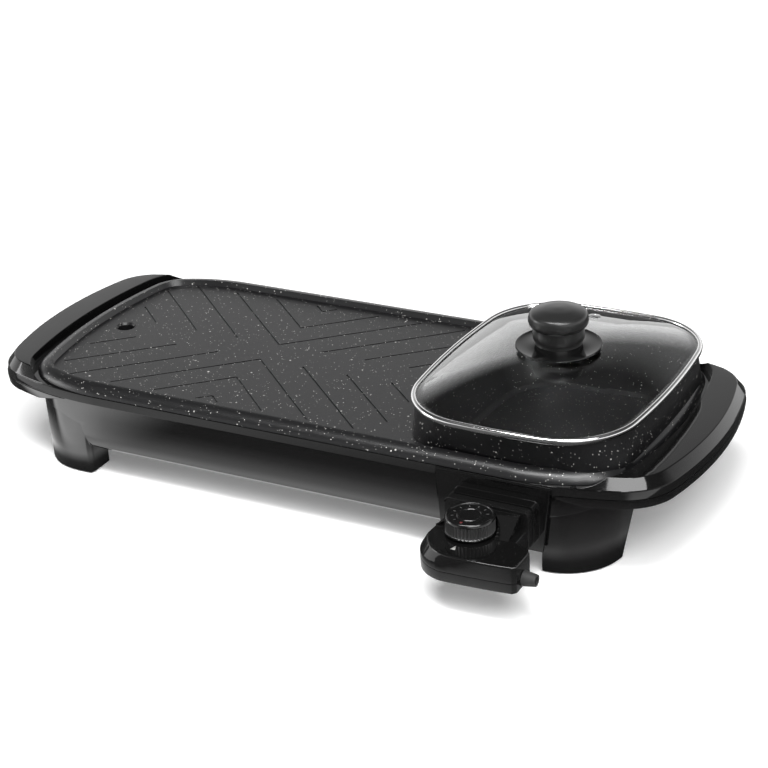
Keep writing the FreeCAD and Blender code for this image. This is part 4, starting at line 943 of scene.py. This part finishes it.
def grey_ramp(tree, value, stops):
    """Grey that runs evenly between stops of (value, grey), given in rising order."""
    ramp = add_node(tree, "ShaderNodeValToRGB")
    tree.links.new(value, ramp.inputs["Fac"])
    marks = ramp.color_ramp.elements
    for mark, (place, grey) in zip(marks, (stops[0], stops[-1])):
        mark.position, mark.color = place, (grey, grey, grey, 1.0)
    for place, grey in stops[1:-1]:
        marks.new(place).color = (grey, grey, grey, 1.0)
    return ramp.outputs["Color"]


def seen_ray(tree):
    """1 for a look from the camera, straight or through glass, and 0 for all other rays.

    It is the greater of camera ray, and transmission ray times no diffuse times no glossy bounce.
    """
    ray = add_node(tree, "ShaderNodeLightPath").outputs
    through = ray["Is Transmission Ray"]
    for depth in ("Diffuse Depth", "Glossy Depth"):
        through = calc(tree, "MULTIPLY", through, calc(tree, "LESS_THAN", ray[depth], NO_BOUNCE))
    return calc(tree, "MAXIMUM", ray["Is Camera Ray"], through)


def soft_window(tree, value, low, high, edge):
    """1 between low and high and 0 outside, with smooth steps as wide as the edge."""
    return calc(tree, "MULTIPLY", remap(tree, value, low, low + edge), remap(tree, value, high, high - edge))


# %% [markdown]
# The table. It is a large white sheet that takes the object's shadow. In the plastic's mirror it
# would be an even white, and the base would look grey. So that the base is black with a soft bright
# band low down, the table carries a painted reflection: to mirrors it is bright some four
# centimetres away from the plastic, by the length of the mirrored ray, and dark nearer to it and
# further out, with painted shade towards the right. A painted white card, a bright patch that only
# mirrors see, lies in front, left of the controller. To the eye the table glows, the more the further out.

# %% Tone of the mirrored table
# Painted reflection and painted shade: the table's grey as mirrors see it, by ray length, and darker on the
# right.
MIRRORED_TONE = ((0.0, 0.04), (0.022, 0.10), (0.042, 0.80), (0.058, 0.45), (0.085, 0.22), (0.12, 0.04))
SHADY_SIDE = (0.20, 0.27, 1.0, 0.35)         # from this x to that, and the share kept at both
# Painted reflection: a white card that is not there, painted as a bright patch of the table that only
# mirrors see.
PAINTED_CARD_X = (-0.62, -0.18, 0.14)                # low, high and width of the soft edge
PAINTED_CARD_Y = (-0.40, -0.10, 0.03)
PAINTED_CARD_STRENGTH = 3.0
FAR_GLOW = (0.5, 2.2, 0.15, 0.90)            # from this distance to that, and the glow at both


def mirrored_tone(tree, ray, x):
    """Painted reflection: grey at the ray's length, times the share kept at x, which is a painted shade on
    the right.
    """
    grey = grey_ramp(tree, ray["Ray Length"], MIRRORED_TONE)
    return calc(tree, "MULTIPLY", grey, remap(tree, x, *SHADY_SIDE))


def table_glow(tree, ray, place, x, y, tone):
    """far glow × seen ray + (painted card × its strength + mirrored tone) × glossy ray, where the second
    term is a painted reflection.
    """
    out = add_node(tree, "ShaderNodeVectorMath", operation="LENGTH")
    tree.links.new(place, out.inputs["Vector"])
    far = remap(tree, out.outputs["Value"], *FAR_GLOW, curve="LINEAR")
    painted_card = calc(tree, "MULTIPLY", soft_window(tree, x, *PAINTED_CARD_X), soft_window(tree, y, *PAINTED_CARD_Y))
    seen = calc(tree, "MULTIPLY", far, seen_ray(tree))
    mirrored = calc(tree, "MULTIPLY_ADD", painted_card, PAINTED_CARD_STRENGTH, tone)
    return calc(tree, "ADD", seen, calc(tree, "MULTIPLY", mirrored, ray["Is Glossy Ray"]))


# %% Table
TABLE_REACH = 6.0                            # half its width
TABLE_COLOR = (0.97, 0.97, 0.97, 1.0)
TABLE_ROUGHNESS = 0.6
TABLE_SHINE = 0.2


def table_material():
    """White to the eye and a painted reflection, the mirrored tone, to a mirror, with the glow on top."""
    material, tree, bsdf = new_material("floor")
    ray = add_node(tree, "ShaderNodeLightPath").outputs
    place = object_place(tree)
    axes = add_node(tree, "ShaderNodeSeparateXYZ")
    tree.links.new(place, axes.inputs["Vector"])
    x, y = axes.outputs["X"], axes.outputs["Y"]
    tone = mirrored_tone(tree, ray, x)
    mix = add_node(tree, "ShaderNodeMix", data_type="RGBA")
    mix.inputs["A"].default_value = TABLE_COLOR
    tree.links.new(tone, mix.inputs["B"])
    tree.links.new(ray["Is Glossy Ray"], mix.inputs["Factor"])
    tree.links.new(mix.outputs["Result"], bsdf.inputs["Base Color"])
    bsdf.inputs["Roughness"].default_value = TABLE_ROUGHNESS
    bsdf.inputs["Specular IOR Level"].default_value = TABLE_SHINE
    bsdf.inputs["Emission Color"].default_value = (1.0, 1.0, 1.0, 1.0)
    tree.links.new(table_glow(tree, ray, place, x, y, tone), bsdf.inputs["Emission Strength"])
    return material


def add_floor():
    """One square about the origin, at the height of the feet."""
    mesh = bpy.data.meshes.new("floor")
    signs = np.array([(-1, -1, 0), (1, -1, 0), (1, 1, 0), (-1, 1, 0)])
    mesh.from_pydata((TABLE_REACH * signs).tolist(), [], [(0, 1, 2, 3)])
    mesh.materials.append(table_material())
    floor = bpy.data.objects.new("floor", mesh)
    bpy.context.scene.collection.objects.link(floor)
    print("table:", 2 * TABLE_REACH, "m wide")


add_floor()

# %% [markdown]
# The room. What glossy black mirrors is most of its look, and a picture of a real studio could be
# wrapped round the scene. A ramp over the height of a ray is enough here: bright near the horizon,
# dark above, where the top faces mirror it and stay black, and lit a little from overhead. The
# front is dim, as it is where the camera stands.

# %% Room
ROOM_TONE = ((0.0, 1.0), (0.10, 0.95), (0.28, 0.66), (0.40, 0.45), (0.48, 0.24), (0.55, 0.04),
             (0.80, 0.055), (1.0, 0.17))     # height of the ray's direction, grey
DIM_FRONT = (-0.94, -0.78, 0.12, 1.0)        # from this y of the direction to that, share at both
ROOM_STRENGTH = 1.6
WHITE = (1.0, 1.0, 1.0, 1.0)


def add_world():
    """ROOM_TONE × front share × ROOM_STRENGTH for light and mirrors, and plain white when seen."""
    world = bpy.data.worlds.new("studio")
    world.use_nodes = True
    tree = world.node_tree
    room = tree.nodes["Background"]
    axes = add_node(tree, "ShaderNodeSeparateXYZ")
    tree.links.new(add_node(tree, "ShaderNodeTexCoord").outputs["Generated"], axes.inputs["Vector"])
    tone = grey_ramp(tree, axes.outputs["Z"], ROOM_TONE)
    front = remap(tree, axes.outputs["Y"], *DIM_FRONT)
    tree.links.new(calc(tree, "MULTIPLY", tone, front), room.inputs["Color"])
    room.inputs["Strength"].default_value = ROOM_STRENGTH
    seen = add_node(tree, "ShaderNodeBackground", Color=WHITE, Strength=1.0)
    mix = add_node(tree, "ShaderNodeMixShader")
    tree.links.new(seen_ray(tree), mix.inputs["Fac"])
    tree.links.new(room.outputs["Background"], mix.inputs[1])
    tree.links.new(seen.outputs["Background"], mix.inputs[2])
    tree.links.new(mix.outputs["Shader"], tree.nodes["World Output"].inputs["Surface"])
    bpy.context.scene.world = world
    print("room:", len(ROOM_TONE), "tones from the horizon up")


add_world()

# %% [markdown]
# The lamps. Three soft boxes light the object: one from the right front that draws the bright
# facet of the near handle, one from overhead that lifts the flecks and the grill, and a small one
# low at the left for the far handle. Point lamps would be simpler, but would leave a hard shadow
# and pin-sharp glints, so these are area lamps, which shine as broad as the boxes of a studio.

# %% Lamps
LAMPS = (("key", (0.95, -0.85, 1.30), (0.25, -0.05, 0.09), (1.2, 0.8), 24.0),
         ("top", (0.1, -0.8, 2.3), (0, 0, 0), (1.6, 0.6), 52.0),
         ("left", (-1.65, -0.58, 0.45), (-0.30, -0.05, 0.06), (0.6, 0.5), 5.0))


def add_area(name, place, aim, size, power):
    """Soft box at a place, turned so that -z points to its aim. Size in metres, power in watts."""
    data = bpy.data.lights.new(name, "AREA")
    data.shape = "RECTANGLE"
    data.size, data.size_y = size
    data.energy = power
    lamp = bpy.data.objects.new(name, data)
    lamp.location = place
    lamp.rotation_mode = "QUATERNION"
    lamp.rotation_quaternion = (Vector(aim) - Vector(place)).to_track_quat("-Z", "Y")
    bpy.context.scene.collection.objects.link(lamp)
    print("lamp", name + ":", power, "W")


for lamp in LAMPS:
    add_area(*lamp)

# %% [markdown]
# Finish. The Standard view shows colours as they are written, and a product picture wants its
# white to be white.

# %% Finish
bpy.context.scene.view_settings.view_transform = "Standard"
